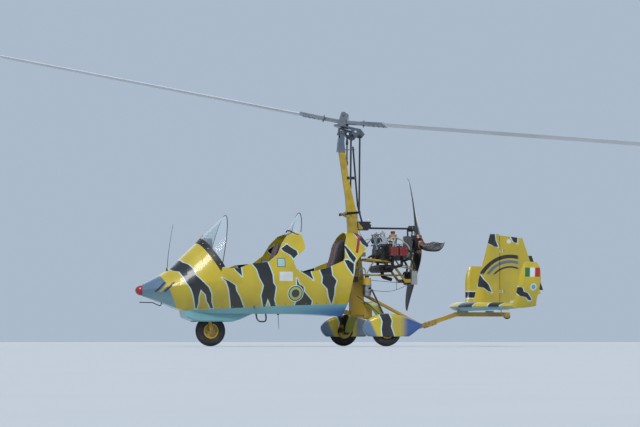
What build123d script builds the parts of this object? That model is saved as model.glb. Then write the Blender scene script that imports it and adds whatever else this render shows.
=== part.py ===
from build123d import *
import functools
import math
import os

# Tandem two-seat open gyrocopter with a pusher engine.
# +X forward, +Y to port, +Z up, floor at Z 0, millimetres.

# Clearances
RUNNING_GAP = 0.3
MOVING_GAP = 6.0

# Fuselage shell
SKIN = 8.0
NOSE_CAP_LENGTH = 68.0
HULL_END_X = -250.0

# Front windscreen, an elliptical arch drawn back along the slope of the deck
SCREEN_SKIN = 4.0
SCREEN_X = 1500.0
SCREEN_BASE_Z = 820.0
SCREEN_HALF_WIDTH = 335.0
SCREEN_RISE = 507.0
SCREEN_SLOPE = 0.936
SCREEN_REACH = (1780.0, 1340.0)
TRIM_STAND_OFF = 0.3
TRIM_SKIN = 3.0
REAR_SCREEN_REACH = (690.0, 510.0)
REAR_SCREEN_X = 552.0
REAR_SCREEN_BASE_Z = 1262.0
REAR_SCREEN_HALF_WIDTH = 185.0
REAR_SCREEN_RISE = 182.0
REAR_SCREEN_SLOPE = 1.61

# Wheels
TYRE_RADIUS = 168.0
TYRE_WIDTH = 104.0
RIM_RADIUS = 84.0
HUB_RADIUS = 24.0
AXLE_RADIUS = 10.0
MAIN_AXLE_X = -232.0
HALF_TRACK = 800.0
NOSE_AXLE_X = 1543.0
# The nose axle is hollow for the cross pin of a tow bar.
TOW_BORE_RADIUS = 6.0
TOW_BORE_LENGTH = 156.0
STEER_RAKE = 12.0
STEER_HEAD_Z = 402.0
STEER_RANGE = 25.0
TAIL_WHEEL_X = -1936.0
TAIL_WHEEL_Z = 342.0
TAIL_WHEEL_RADIUS = 36.0
TAIL_WHEEL_WIDTH = 20.0

# Frame
TUBE = 48.0
# The keel rests on the inside of the belly.
BELLY_Z = 356.0
KEEL_Z = BELLY_Z + SKIN + TUBE / 2 + RUNNING_GAP
MAST_HALF_WIDTH = 30.0
MAST_FOOT_Z = 780.0
MAST_TOP_Z = 2270.0
STRUT_RADIUS = 10.0
BOW_X = -262.0
BOW_CHORD = 84.0
BOW_THICKNESS = 40.0
BOW_TOP_Z = 500.0
BOW_END_Z = 182.0
# The uprights carry the axles, this far inboard of the wheels' middle.
UPRIGHT_Y = HALF_TRACK - 100.0
UPRIGHT_INNER_Y = UPRIGHT_Y - 8.0
UPRIGHT_TOP_Z = 358.0

# Wheel pants
PANT_HALF_WIDTH = 78.0
PANT_SKIN = 6.0
PANT_BOTTOM_Z = 107.0

# Rotor head, set out in its own frame along the tilted spindle
PIVOT_X = 33.0
PIVOT_Z = 2390.0
HEAD_TILT = 10.5
PITCH_PIN_RADIUS = 8.0
EAR_INNER_Y = 29.0
ROLL_AXIS_DROP = 25.0
ROLL_PIN_RADIUS = 5.0
RING_RADIUS = 100.0
RING_BASE = 58.0
RING_THICKNESS = 15.0
TOWER_TOP = 229.0
TEETER_HEIGHT = 192.0
BAR_HEIGHT = 117.0
BAR_THICKNESS = 40.0
BAR_WIDTH = 74.0
BAR_REACH = 250.0
GRIP_REACH = 500.0
SPINDLE_RADIUS = 16.0
TEETER_BOLT_RADIUS = 8.0
ROTOR_RADIUS = 4300.0
BLADE_CHORD = 220.0
BLADE_THICKNESS = 26.0
BLADE_AZIMUTH = -34.0
PRECONE = 3.2

# Controls to the head
ROD_RADIUS = 10.0
ROD_Y = 166.0
ROD_TOP = (-129.0, 2335.0)
ROD_FOOT = (-120.0, 1490.0)
CRANK_X = 2.0
CRANK_Z = 1475.0
CRANK_TUBE_RADIUS = 12.0
CRANK_PLATE_Y = 150.0
# The head tilts sideways beside the top eyes, so they stand further off.
ROLL_GAP = 5.0

# Propeller and engine
PROP_X = -880.0
PROP_Z = 1150.0
PROP_RADIUS = 865.0
PROP_HUB_RADIUS = 62.0
PROP_SHAFT_RADIUS = 20.0
PROP_SHAFT_REACH = 100.0
PROP_ANGLES = (97.0, 217.0, 337.0)
CRANKSHAFT_Z = 1055.0
# Cylinders as x and the side they point to
CYLINDERS = ((-493.0, 1), (-600.0, 1), (-463.0, -1), (-570.0, -1))
BARREL_RADIUS = 36.0
FIN_PITCH = 12.0
FIN_COUNT = 9
CASE_HALF_WIDTH = 70.0
CASE_TOP_Z = 1128.0
HEAD_INNER_Y = 190.0
HEAD_OUTER_Y = 256.0
HEAD_HALF_HEIGHT = 52.0
COVER_FACE_Y = 300.0
MUFFLER_Z = 866.0
MUFFLER_RADIUS = 42.0
MOUNT_RAIL_Y = 118.0
MOUNT_RAIL_RADIUS = 14.0

# Tail
STAB_TIP_Y = 770.0
FIN_TIP_Y = 900.0
FIN_TIP_Z = 930.0
HINGE_X = -1864.0
RUDDER_NOSE_RADIUS = 22.0
RUDDER_PIN_RADIUS = 5.0
RUDDER_RANGE = 25.0


def rod(start, end, radius):
    """A round bar from one point to another."""
    start, end = Vector(*start), Vector(*end)
    run = end - start
    return Solid.make_cylinder(radius, run.length, Plane(origin=start, z_dir=run))


def across(x, z, y_from, y_to, radius):
    """A round bar along Y."""
    return rod((x, y_from, z), (x, y_to, z), radius)


def block(x, y, z):
    """A box given by its range along each axis."""
    corner = Plane(origin=(min(x), min(y), min(z)))
    return Solid.make_box(abs(x[1] - x[0]), abs(y[1] - y[0]), abs(z[1] - z[0]), corner)


def side_plate(outline, y_from, y_to):
    """A plate whose outline is seen from the side, as (x, z) points."""
    face = Face(Wire.make_polygon([(x, y_from, z) for x, z in outline]))
    return Solid.extrude(face, Vector(0, y_to - y_from, 0))


def band(centreline, half):
    """The outline of a bar of even depth along a line of (x, z) points."""
    points = [Vector(*point) for point in centreline]
    ways = [(after - before).normalized() for before, after in zip(points, points[1:])]
    ways = [ways[0]] + ways + [ways[-1]]
    one_side, other_side = [], []
    for point, way_in, way_out in zip(points, ways, ways[1:]):
        mean = (way_in + way_out).normalized()
        reach = half / mean.dot(way_in)
        normal = Vector(-mean.Y, mean.X)
        one_side.append(point + normal * reach)
        other_side.append(point - normal * reach)
    return [(point.X, point.Y) for point in one_side + other_side[::-1]]


def bent_tube(points, radius, bend):
    """A round tube along straight runs joined by tangent arcs."""
    path = FilletPolyline(*points, radius=bend)
    section = Plane(origin=path @ 0, z_dir=path % 0) * Circle(radius)
    return sweep(section, path=path).solid()


def arc(start, middle, end):
    return Edge.make_three_point_arc(Vector(*start), Vector(*middle), Vector(*end))


def line(start, end):
    return Edge.make_line(Vector(*start), Vector(*end))


def mirrored(shape):
    return shape.mirror(Plane.XZ)


def both_sides(shape):
    return [shape, mirrored(shape)]


def one(shape):
    """The single solid that a boolean leaves."""
    found = shape.solids() if hasattr(shape, "solids") else [shape]
    return max(found, key=lambda solid: solid.volume)


def write(name, *shapes):
    """One STEP file, moved so that the origin lies under the middle of the rotor's plan."""
    origin = Location((-rotor_plan_middle_x(), 0, 0))
    solids = []
    for shape in shapes:
        solids += [solid.moved(origin) for solid in shape.solids()]
    export_step(solids[0] if len(solids) == 1 else Compound(solids), f"parts/{name}.step")


# Fuselage sections: x, bottom z, half-width of the flat bottom, half-width and z of the
# widest line, half-width and z of the shoulder, top z. The top over the cockpits is cut away.
HULL_SECTIONS = (
    (2320, 553, 20, 57, 610, 40, 650, 667),
    (2180, 503, 50, 160, 630, 108, 716, 748),
    (2031, 449, 80, 250, 650, 160, 772, 831),
    (1868, 390, 130, 309, 672, 198, 885, 983),
    (1710, 375, 160, 332, 692, 237, 982, 1130),
    (1500, 360, 190, 347, 710, 237, 1178, 1327),
    (1080, 356, 220, 355, 765, 235, 1180, 1310),
    (600, 356, 235, 358, 785, 205, 1218, 1284),
    (100, 335, 220, 335, 800, 200, 1212, 1275),
    (-250, 330, 200, 312, 800, 190, 1195, 1262),
)
BULGE = 0.07


def bulged(start, end, outward):
    """The middle point of a flank between two (y, z) points, swelled outwards."""
    dy, dz = end[0] - start[0], end[1] - start[1]
    return (
        (start[0] + end[0]) / 2 + outward * dz * BULGE,
        (start[1] + end[1]) / 2 - outward * dy * BULGE,
    )


def hull_wire(row, inset):
    """One closed section of the fuselage, moved inwards by the inset."""
    x, z_bottom, y_bottom, y_wide, z_wide, y_shoulder, z_shoulder, z_top = row
    corner = (max(y_bottom - inset, 8), z_bottom + inset)
    wide = (y_wide - inset, z_wide)
    shoulder = (y_shoulder - inset * 0.7, z_shoulder - inset * 0.7)
    lower, upper = bulged(corner, wide, 1), bulged(wide, shoulder, 1)

    def port(point):
        return (x, point[0], point[1])

    def starboard(point):
        return (x, -point[0], point[1])

    edges = [
        line(starboard(corner), port(corner)),
        arc(port(corner), port(lower), port(wide)),
        arc(port(wide), port(upper), port(shoulder)),
        arc(port(shoulder), (x, 0, z_top - inset), starboard(shoulder)),
        arc(starboard(shoulder), starboard(upper), starboard(wide)),
        arc(starboard(wide), starboard(lower), starboard(corner)),
    ]
    return Wire(edges)


def eased(rows, steps):
    """More sections between the given ones, along curves that never overshoot them."""
    out = []
    last = len(rows) - 1

    def slope(i, column):
        if i in (0, last):
            j = 0 if i == 0 else last - 1
            return (rows[j + 1][column] - rows[j][column]) / (rows[j + 1][0] - rows[j][0])
        before = (rows[i][column] - rows[i - 1][column]) / (rows[i][0] - rows[i - 1][0])
        after = (rows[i + 1][column] - rows[i][column]) / (rows[i + 1][0] - rows[i][0])
        return 0 if before * after <= 0 else 2 * before * after / (before + after)

    for i in range(last):
        span = rows[i + 1][0] - rows[i][0]
        for step in range(steps):
            t = step / steps
            row = [rows[i][0] + span * t]
            for column in range(1, len(rows[0])):
                start, end = rows[i][column], rows[i + 1][column]
                level = (2 * t ** 3 - 3 * t ** 2 + 1) * start + (3 * t ** 2 - 2 * t ** 3) * end
                leaving = (t ** 3 - 2 * t ** 2 + t) * slope(i, column)
                arriving = (t ** 3 - t ** 2) * slope(i + 1, column)
                row.append(level + span * (leaving + arriving))
            out.append(tuple(row))
    return out + [rows[-1]]


def hull_body(inset):
    """The closed form of the fuselage. The inner one starts behind the nose and runs out aft."""
    rows = eased(HULL_SECTIONS, 2)
    if inset:
        last = (HULL_END_X - 20,) + rows[-1][1:]
        rows = rows[1:-1] + [last]
    return Solid.make_loft([hull_wire(row, inset) for row in rows], ruled=True)


# Outlines seen from the side, as (x, z) points
FRONT_COCKPIT = (
    (1711, 1130), (1508, 812), (1495, 858), (1315, 849), (1180, 902), (977, 921),
    (863, 1010), (800, 1130), (725, 1220), (580, 1280), (580, 1700), (1711, 1700),
)
REAR_COCKPIT = (
    (580, 1280), (559, 1250), (535, 1115), (540, 1075), (618, 1003), (676, 953), (680, 914),
    (657, 850), (572, 816), (426, 831), (280, 872), (187, 911), (93, 950), (71, 1130),
    (13, 1270), (13, 1700), (580, 1700),
)
REAR_EDGE = (
    (-116, 1700), (-116, 1268), (-210, 1120), (-156, 1060), (-82, 980), (-37, 917),
    (-15, 795), (16, 655), (48, 465), (100, 320), (100, 100), (-600, 100), (-600, 1700),
)
BELLY_REGION = (
    (1868, 391), (800, 445), (-300, 478), (-300, 100), (1868, 100),
)
# The front windscreen's lower rim meets the deck and its rear rim leans back. The trim covers
# the lower rim.
SCREEN_ZONE = ((1711, 1130), (1508, 812), (1360, 1525), (1366, 1560), (1430, 1560))
SCREEN_TRIM_ZONE = (
    (1743, 1182), (1508.5, 813), (1495.5, 859), (1459, 867), (1684, 1219),
)
REAR_SCREEN_ZONE = ((700, 1180), (560, 1200), (557, 1285), (526, 1500), (700, 1500))
FAIRING = (
    (1868, 400), (1859, 377), (1842, 312), (1758, 281), (1723, 269), (1331, 269),
    (1235, 297), (1105, 354), (1090, 400),
)
FAIRING_HALF_WIDTH = 150.0
WELL_HALF_WIDTH = 122.0
WELL_X = (1336, 1752)
FAR_SIDE = 600.0


def fairing_body(inset):
    outline = FAIRING
    if inset:
        middle_x = 1480
        outline = [
            (x + (-inset if x > middle_x else inset), z + inset) for x, z in FAIRING
        ]
    half = FAIRING_HALF_WIDTH - inset
    body = side_plate(outline, -half, half)
    if inset:
        return body
    long_edges = [
        edge for edge in body.edges()
        if abs(edge.center().Y) > half - 1 and edge.center().Z < 380 and edge.center().X < 1850
    ]
    return body.fillet(22, long_edges)


def fuselage():
    outer, inner = hull_body(0), hull_body(SKIN)
    shell = outer - inner
    for opening in (FRONT_COCKPIT, REAR_COCKPIT, REAR_EDGE):
        shell = shell - side_plate(opening, -FAR_SIDE, FAR_SIDE)
    belly_side = side_plate(BELLY_REGION, -FAR_SIDE, FAR_SIDE)
    upper = shell - belly_side
    mast_slot = block((-220, -28), (-MAST_HALF_WIDTH - 14, MAST_HALF_WIDTH + 14), (1100, 1400))
    upper = upper - mast_slot
    fairing = (fairing_body(0) & belly_side) - inner
    belly = (shell & belly_side) + fairing
    belly = belly - fairing_body(SKIN)
    belly = belly - block(WELL_X, (-WELL_HALF_WIDTH, WELL_HALF_WIDTH), (200, 345))
    write("fuselage_shell", one(upper))
    write("belly_pan", one(belly))
    return outer, inner


def nose_cap():
    x, z_bottom, _, half_width, z_wide, _, _, z_top = HULL_SECTIONS[0]
    tip = Solid.make_sphere(1.0, angle1=-90, angle2=90)
    cap = scale(tip, by=(NOSE_CAP_LENGTH, half_width, (z_top - z_bottom) / 2))
    cap = cap.moved(Location((x, 0, z_wide)))
    front = block((x, x + 2 * NOSE_CAP_LENGTH), (-half_width, half_width), (z_bottom, z_top))
    write("nose_cap", one(cap & front))


# Pitot tube under the nose, as (x, z) points from its tip to its foot inside the skin
PITOT_LINE = ((2340, 480), (2195, 477), (2105, 438), (2085, 500))
PITOT_RADIUS = 5.0


def pitot_probe(outer):
    probe = bent_tube([(x, 0, z) for x, z in PITOT_LINE], PITOT_RADIUS, 3 * PITOT_RADIUS)
    write("pitot_probe", one(probe - outer))


def arch_sheet(x, base_z, half_width, rise, slope, skin, reach):
    """A thin elliptical arch at x, drawn forwards and aft along its slope to the two x of reach."""
    front_x, back_x = reach
    section = Plane(origin=(x, 0, base_z), x_dir=(0, 1, 0), z_dir=(1, 0, 0))
    ring = Ellipse(half_width, rise) - Ellipse(half_width - skin, rise - skin)
    ring = ring & Rectangle(4 * half_width, 3 * rise, align=(Align.CENTER, Align.MIN))
    ring = section * ring
    way = Vector(1, 0, -slope)
    forward = Solid.extrude(ring.face(), way * (front_x - x))
    aft = Solid.extrude(ring.face(), way * (back_x - x))
    return forward + aft


def windscreens(outer):
    sheet = arch_sheet(
        SCREEN_X, SCREEN_BASE_Z, SCREEN_HALF_WIDTH, SCREEN_RISE, SCREEN_SLOPE, SCREEN_SKIN, SCREEN_REACH
    )
    write("front_windscreen", one(sheet & side_plate(SCREEN_ZONE, -FAR_SIDE, FAR_SIDE)))
    outside = TRIM_STAND_OFF + TRIM_SKIN
    strip = arch_sheet(
        SCREEN_X, SCREEN_BASE_Z, SCREEN_HALF_WIDTH + outside, SCREEN_RISE + outside, SCREEN_SLOPE,
        TRIM_SKIN, SCREEN_REACH,
    )
    write("front_screen_trim", one(strip & side_plate(SCREEN_TRIM_ZONE, -FAR_SIDE, FAR_SIDE)))
    rear = arch_sheet(
        REAR_SCREEN_X, REAR_SCREEN_BASE_Z, REAR_SCREEN_HALF_WIDTH, REAR_SCREEN_RISE,
        REAR_SCREEN_SLOPE, SCREEN_SKIN, REAR_SCREEN_REACH,
    )
    hump = outer - side_plate(FRONT_COCKPIT, -FAR_SIDE, FAR_SIDE)
    rear = (rear & side_plate(REAR_SCREEN_ZONE, -FAR_SIDE, FAR_SIDE)) - hump
    write("rear_windscreen", one(rear))


# Seats: the outline of each padded solid seen from the side
SEAT_HALF_WIDTH = 205.0
SEAT_FOOT_Z = KEEL_Z + TUBE / 2 + RUNNING_GAP
FRONT_SEAT = (
    (1330, 470), (1345, 520), (1320, 545), (1010, 500), (880, 800), (800, 1080), (735, 1175),
    (700, 1150), (760, 1000), (850, 640), (930, SEAT_FOOT_Z), (1300, SEAT_FOOT_Z),
)
REAR_SEAT = (
    (600, 470), (612, 515), (590, 540), (300, 500), (200, 780), (125, 1020), (60, 1215),
    (22, 1205), (60, 1000), (130, 640), (205, SEAT_FOOT_Z), (575, SEAT_FOOT_Z),
)


def seats():
    room = hull_body(SKIN + MOVING_GAP)
    for name, outline in (("front_seat", FRONT_SEAT), ("rear_seat", REAR_SEAT)):
        body = side_plate(outline, -SEAT_HALF_WIDTH, SEAT_HALF_WIDTH)
        rims = [edge for edge in body.edges() if abs(abs(edge.center().Y) - SEAT_HALF_WIDTH) < 1]
        write(name, one(body.fillet(14, rims) & room))


def cockpit(inner):
    panel = block((1590, 1640), (-330, 330), (840, 925)) & inner
    panel = panel + block((1590, 1640), (-185, 185), (900, 1075))
    pod = block((1540, 1622), (-62, 62), (1060, 1186))
    pod = pod.fillet(18, pod.edges().filter_by(Axis.X))
    panel = panel + pod
    write("instrument_panel", one(panel))
    sticks = []
    for x in (1400, 640):
        foot = SEAT_FOOT_Z
        grip = bent_tube([(x, 0, foot), (x, 0, 640), (x - 40, 0, 700), (x - 20, 0, 830)], 11, 40)
        sticks.append(grip)
    write("control_sticks", *sticks)


# Keel tube, as (x, z) points along its centre from the nose to the tail
TAIL_BOOM_Z = 359.0
KEEL_LINE = ((1640, KEEL_Z), (30, KEEL_Z), (-820, 201), (-1320, TAIL_BOOM_Z), (-1962, TAIL_BOOM_Z))
POST_HALF_WIDTH = MAST_HALF_WIDTH + 10
POST_FRONT_X = -64.0
POST_BACK_X = -215.0
STRUT_HEAD = (-290.0, 112.0, 622.0)
STRUT_HEAD_RADIUS = 14.0
STAY_RADIUS = 19.0
STEM_RADIUS = 12.0
STEER_X = 1565.0
TAIL_PIN_RADIUS = 4.0
# The stay from the mast post ends inside the boom, below the sweep of the propeller.
STAY_HEAD_Z = 592.0
STAY_FOOT = (-905, 0, 232)


def steer_axis():
    """A point on the steering axis and its direction, leaning back with the rake."""
    lean = math.radians(STEER_RAKE)
    return Vector(STEER_X, 0, STEER_HEAD_Z), Vector(-math.sin(lean), 0, math.cos(lean))


def keel_frame():
    half = TUBE / 2
    keel = side_plate(band(KEEL_LINE, half), -half, half)
    post = block((POST_BACK_X, POST_FRONT_X), (-POST_HALF_WIDTH, POST_HALF_WIDTH), (350, MAST_FOOT_Z))
    # The gear bow lies on the saddle.
    saddle_top = BOW_TOP_Z - BOW_THICKNESS - 1.5
    saddle = block((BOW_X - 48, POST_BACK_X), (-45, 45), (320, saddle_top))
    head_x, head_y, head_z = STRUT_HEAD
    cross = rod((head_x, -head_y, head_z), STRUT_HEAD, STRUT_HEAD_RADIUS)
    bracket = block((head_x, POST_BACK_X + 1), (-half, half), (head_z - 22, head_z + 22))
    stay = rod((POST_BACK_X + 20, 0, STAY_HEAD_Z), STAY_FOOT, STAY_RADIUS)
    gusset = side_plate(((-940, 200), (-1085, 246), (-1075, 285), (-950, 270)), -30, 30)
    point, way = steer_axis()
    head = Solid.make_cylinder(2 * STEM_RADIUS + 3, 62, Plane(origin=point - way * 28, z_dir=way))
    frame = keel + post + saddle + cross + bracket + stay + gusset + head
    bore = Solid.make_cylinder(STEM_RADIUS + RUNNING_GAP, 120, Plane(origin=point - way * 60, z_dir=way))
    frame = frame - bore
    slot_half = TAIL_WHEEL_WIDTH / 2 + MOVING_GAP
    slot = block((TAIL_WHEEL_X + TAIL_WHEEL_RADIUS + 8, -2000), (-slot_half, slot_half), (320, 400))
    axle_bore = across(TAIL_WHEEL_X, TAIL_WHEEL_Z, -TUBE, TUBE, TAIL_PIN_RADIUS + RUNNING_GAP)
    ears = side_plate(
        ((-1900, 345), (-1900, 325), (-1925, 322), (-1948, 322), (-1962, 345)), -half, half
    )
    frame = (frame + ears) - slot - axle_bore
    # The foot of the rudder runs in this bore.
    tail_bore = rod((HINGE_X, 0, 300), (HINGE_X, 0, 420), RUDDER_PIN_RADIUS + RUNNING_GAP)
    frame = frame - tail_bore
    write("keel_frame", one(frame))


# Mast seen from the side: front and rear edge, as (x, z) points
MAST_OUTLINE = (
    (77, MAST_TOP_Z), (-16, 1650), (-37, 1350), (-64, MAST_FOOT_Z),
    (-215, MAST_FOOT_Z), (-141, 1350), (-136, 1490), (-44, 1860), (9, MAST_TOP_Z),
)


def mast_body():
    return side_plate(MAST_OUTLINE, -MAST_HALF_WIDTH, MAST_HALF_WIDTH)


def mast():
    body = mast_body()
    cap = side_plate(((84, 2170), (2, 2170), (14, 2330), (66, 2330)), -36, 36)
    # The ears hold the pitch pin and stay inside the roll plate's cheeks and bridge.
    low, high = PIVOT_Z - 90, PIVOT_Z + 20
    ear = side_plate(
        ((PIVOT_X - 25, low), (PIVOT_X + 25, low), (PIVOT_X + 25, high - 12), (PIVOT_X + 15, high),
         (PIVOT_X - 15, high), (PIVOT_X - 25, high - 12)),
        EAR_INNER_Y, EAR_INNER_Y + 8,
    )
    pin = rod((PIVOT_X, -43, PIVOT_Z), (PIVOT_X, 43, PIVOT_Z), PITCH_PIN_RADIUS)
    crank_ear = side_plate(
        ((-36, 1440), (CRANK_X, 1456), (CRANK_X + 22, CRANK_Z), (CRANK_X, 1494), (-30, 1510)), 36, 46
    )
    crank_foot = side_plate(((-40, 1440), (-20, 1440), (-20, 1510), (-40, 1510)), 28, 46)
    crank_bore = rod((CRANK_X, -60, CRANK_Z), (CRANK_X, 60, CRANK_Z), CRANK_TUBE_RADIUS + RUNNING_GAP)
    whole = body + cap
    for piece in (ear, crank_ear, crank_foot):
        for side in both_sides(piece):
            whole = whole + side
    whole = (whole - crank_bore) + pin
    write("mast", one(whole))


def gear_bow():
    end_z, end_y, half = BOW_END_Z, UPRIGHT_Y - 6, BOW_THICKNESS / 2
    top = BOW_TOP_Z - half
    centre_z = (top ** 2 - end_z ** 2 - end_y ** 2) / (2 * (top - end_z))
    radius = top - centre_z
    outer, inner = radius + half, radius - half
    turn = math.asin((end_y + 40) / radius)

    def at(r, angle):
        return (BOW_X - BOW_CHORD / 2, r * math.sin(angle), centre_z + r * math.cos(angle))

    edges = [
        arc(at(outer, turn), at(outer, 0), at(outer, -turn)),
        line(at(outer, -turn), at(inner, -turn)),
        arc(at(inner, -turn), at(inner, 0), at(inner, turn)),
        line(at(inner, turn), at(outer, turn)),
    ]
    bow = Solid.extrude(Face(Wire(edges)), Vector(BOW_CHORD, 0, 0))
    # The ends are cut square where they bolt to the uprights.
    inside = UPRIGHT_INNER_Y
    between = block((-FAR_SIDE, 0), (-inside, inside), (0, FAR_SIDE))
    write("gear_bow", one(bow & between))


def gear_struts():
    strut = rod(STRUT_HEAD, (MAIN_AXLE_X, UPRIGHT_Y - 4, UPRIGHT_TOP_Z - 6), STRUT_RADIUS)
    # The ends are cut square at the frame's cross tube and at the upright.
    reach = block((-FAR_SIDE, 0), (STRUT_HEAD[1] + 1, UPRIGHT_INNER_Y), (0, 2 * FAR_SIDE))
    write("gear_struts", *both_sides(one(strut & reach)))


def axles():
    x = MAIN_AXLE_X
    plate = block((x - 30, x + 26), (UPRIGHT_INNER_Y, UPRIGHT_Y + 2), (130, UPRIGHT_TOP_Z))
    stub = rod((x, UPRIGHT_Y, TYRE_RADIUS), (x, HALF_TRACK + 44, TYRE_RADIUS), AXLE_RADIUS)
    caliper = block((x + 42, x + 82), (UPRIGHT_Y + 4, UPRIGHT_Y + 22), (150, 215))
    arm = block((x + 17, x + 82), (UPRIGHT_Y - 6, UPRIGHT_Y + 6), (165, 195))
    # A foot at the top of the upright holds the pant.
    pant_inner_y = HALF_TRACK - PANT_HALF_WIDTH
    foot = block((x - 18, x + 14), (UPRIGHT_Y, pant_inner_y), (290, 330))
    axle = plate + stub + caliper + arm + foot
    axle = axle - pant_body(0)
    axle = axle + stub
    write("axles", *both_sides(one(axle)))


# Pants: x from the axle, top z, bottom z, half-width
PANT_SECTIONS = (
    (270, 226, 186, 12), (225, 280, 122, 42), (140, 330, 76, 68), (0, 358, 60, 78),
    (-150, 338, 72, 70), (-300, 286, 136, 40), (-410, 238, 210, 8),
)


def pant_body(inset):
    wires = []
    for x, z_top, z_bottom, half_width in PANT_SECTIONS:
        plane = Plane(
            origin=(MAIN_AXLE_X + x, HALF_TRACK, (z_top + z_bottom) / 2), x_dir=(0, 1, 0), z_dir=(1, 0, 0)
        )
        if inset and min(half_width, (z_top - z_bottom) / 2) <= inset + 3:
            continue
        wide, high = 2 * (half_width - inset), z_top - z_bottom - 2 * inset
        corner = min(wide, high) * 0.36
        wires.append((plane * RectangleRounded(wide, high, corner)).wire())
    return Solid.make_loft(wires)


def wheel_pants():
    pant = pant_body(0) - pant_body(PANT_SKIN)
    below = block((-2 * FAR_SIDE, FAR_SIDE), (0, 2 * HALF_TRACK), (0, PANT_BOTTOM_Z))
    opening = across(
        MAIN_AXLE_X, TYRE_RADIUS, UPRIGHT_Y - 40, HALF_TRACK - 30, RIM_RADIUS + 8
    )
    pant = one(pant - below - opening)
    write("wheel_pant_left", pant)
    write("wheel_pant_right", mirrored(pant))


def wheel(x, y, disc_side):
    """The tyre and the rim of one road wheel, about an axle along Y."""
    here = Location((x, y, TYRE_RADIUS))
    half = TYRE_WIDTH / 2
    spin = Axis((0, 0, 0), (0, 1, 0))
    bead = half - 18
    crown = Wire([
        line((RIM_RADIUS, -bead, 0), (RIM_RADIUS, bead, 0)),
        arc((RIM_RADIUS, bead, 0), (122, half, 0), (148, half - 10, 0)),
        arc((148, half - 10, 0), (TYRE_RADIUS, 0, 0), (148, -half + 10, 0)),
        arc((148, -half + 10, 0), (122, -half, 0), (RIM_RADIUS, -bead, 0)),
    ])
    tyre = Solid.revolve(Face(crown), 360, spin)
    bore = AXLE_RADIUS + RUNNING_GAP
    # Rim profile as (radius, y)
    outline = [
        (bore, -40), (HUB_RADIUS, -40), (HUB_RADIUS, -12), (66, -8), (70, -34), (RIM_RADIUS, -40),
        (RIM_RADIUS, 40), (70, 34), (66, 4), (HUB_RADIUS, 8), (HUB_RADIUS, 40), (bore, 40),
    ]
    outline = [(r, max(-bead, min(bead, v))) for r, v in outline]
    rim = Solid.revolve(Face(Wire.make_polygon([(r, v, 0) for r, v in outline])), 360, spin)
    if disc_side:
        # The brake disc stands inboard of the rim on a short neck.
        neck_y, disc_y = -disc_side * (bead + 28), -disc_side * (bead + 33)
        rim = rim + across(0, 0, -disc_side * (bead - 4), neck_y, 30) + across(0, 0, neck_y, disc_y, 75)
        rim = rim - across(0, 0, -TYRE_WIDTH, TYRE_WIDTH, bore)
    return tyre.moved(here), one(rim).moved(here)


def wheels():
    # Each wheel's name, axle x, y and the side it stands on if it has a brake
    places = (
        ("nose", NOSE_AXLE_X, 0, 0), ("left", MAIN_AXLE_X, HALF_TRACK, 1),
        ("right", MAIN_AXLE_X, -HALF_TRACK, -1),
    )
    for name, x, y, disc_side in places:
        tyre, rim = wheel(x, y, disc_side)
        write(f"tyre_{name}", tyre)
        write(f"rim_{name}", rim)
    half, pin_half = TAIL_WHEEL_WIDTH / 2, TUBE / 2 - 1
    tail = across(TAIL_WHEEL_X, TAIL_WHEEL_Z, -half, half, TAIL_WHEEL_RADIUS)
    pin = across(TAIL_WHEEL_X, TAIL_WHEEL_Z, -pin_half, pin_half, TAIL_PIN_RADIUS)
    write("tail_wheel", one(tail + pin))


def nose_fork():
    point, way = steer_axis()
    stem = Solid.make_cylinder(STEM_RADIUS, 88, Plane(origin=point - way * 46, z_dir=way))
    crown_z = TYRE_RADIUS * 2 + 10
    leg_inner, leg_outer = TYRE_WIDTH / 2 + 10, TYRE_WIDTH / 2 + 20
    crown_y = (-leg_outer - 2, leg_outer + 2)
    crown = block((NOSE_AXLE_X - 8, NOSE_AXLE_X + 57), crown_y, (crown_z, crown_z + 14))
    leg = side_plate(
        ((NOSE_AXLE_X + 17, crown_z + 6), (NOSE_AXLE_X + 57, crown_z + 6),
         (NOSE_AXLE_X + 16, TYRE_RADIUS - 18), (NOSE_AXLE_X - 16, TYRE_RADIUS - 18)),
        leg_inner, leg_outer,
    )
    fork = stem + crown
    for side in both_sides(leg):
        fork = fork + side
    axle = across(NOSE_AXLE_X, TYRE_RADIUS, -TOW_BORE_LENGTH / 2, TOW_BORE_LENGTH / 2, AXLE_RADIUS)
    bore = across(NOSE_AXLE_X, TYRE_RADIUS, -TOW_BORE_LENGTH, TOW_BORE_LENGTH, TOW_BORE_RADIUS)
    write("nose_fork", one(fork + axle - bore))


def foil_wire(nose, aft, side, chord, thickness, edge=3.0):
    """A closed aerofoil section of arcs: nose point, direction aft, direction of thickness."""
    nose, aft, side = Vector(*nose), Vector(*aft), Vector(*side)

    def at(along, out):
        return tuple(nose + aft * (chord * along) + side * (thickness / 2 * out))

    tail = edge / thickness
    edges = [
        arc(at(0, 0), at(0.07, 0.66), at(0.3, 1)),
        arc(at(0.3, 1), at(0.65, 0.5 + tail * 0.5 + 0.16), at(1, tail)),
        line(at(1, tail), at(1, -tail)),
        arc(at(1, -tail), at(0.65, -0.5 - tail * 0.5 - 0.16), at(0.3, -1)),
        arc(at(0.3, -1), at(0.07, -0.66), at(0, 0)),
    ]
    return Wire(edges)


# Stabiliser stations: y, leading edge x, trailing edge x, z of the chord line, thickness
STAB_SECTIONS = (
    (0, -1267, -1822, 446, 92), (400, -1408, -1862, 446, 84), (STAB_TIP_Y, -1693, -1990, 448, 50),
)


def stabiliser_body():
    """The stabiliser from tip to tip, before it is notched for the boom."""
    wires = []
    rows = [(-y, *rest) for y, *rest in STAB_SECTIONS[:0:-1]] + list(STAB_SECTIONS)
    for y, nose_x, tail_x, z, thickness in rows:
        wires.append(foil_wire((nose_x, y, z), (-1, 0, 0), (0, 0, 1), nose_x - tail_x, thickness))
    return Solid.make_loft(wires)


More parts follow.
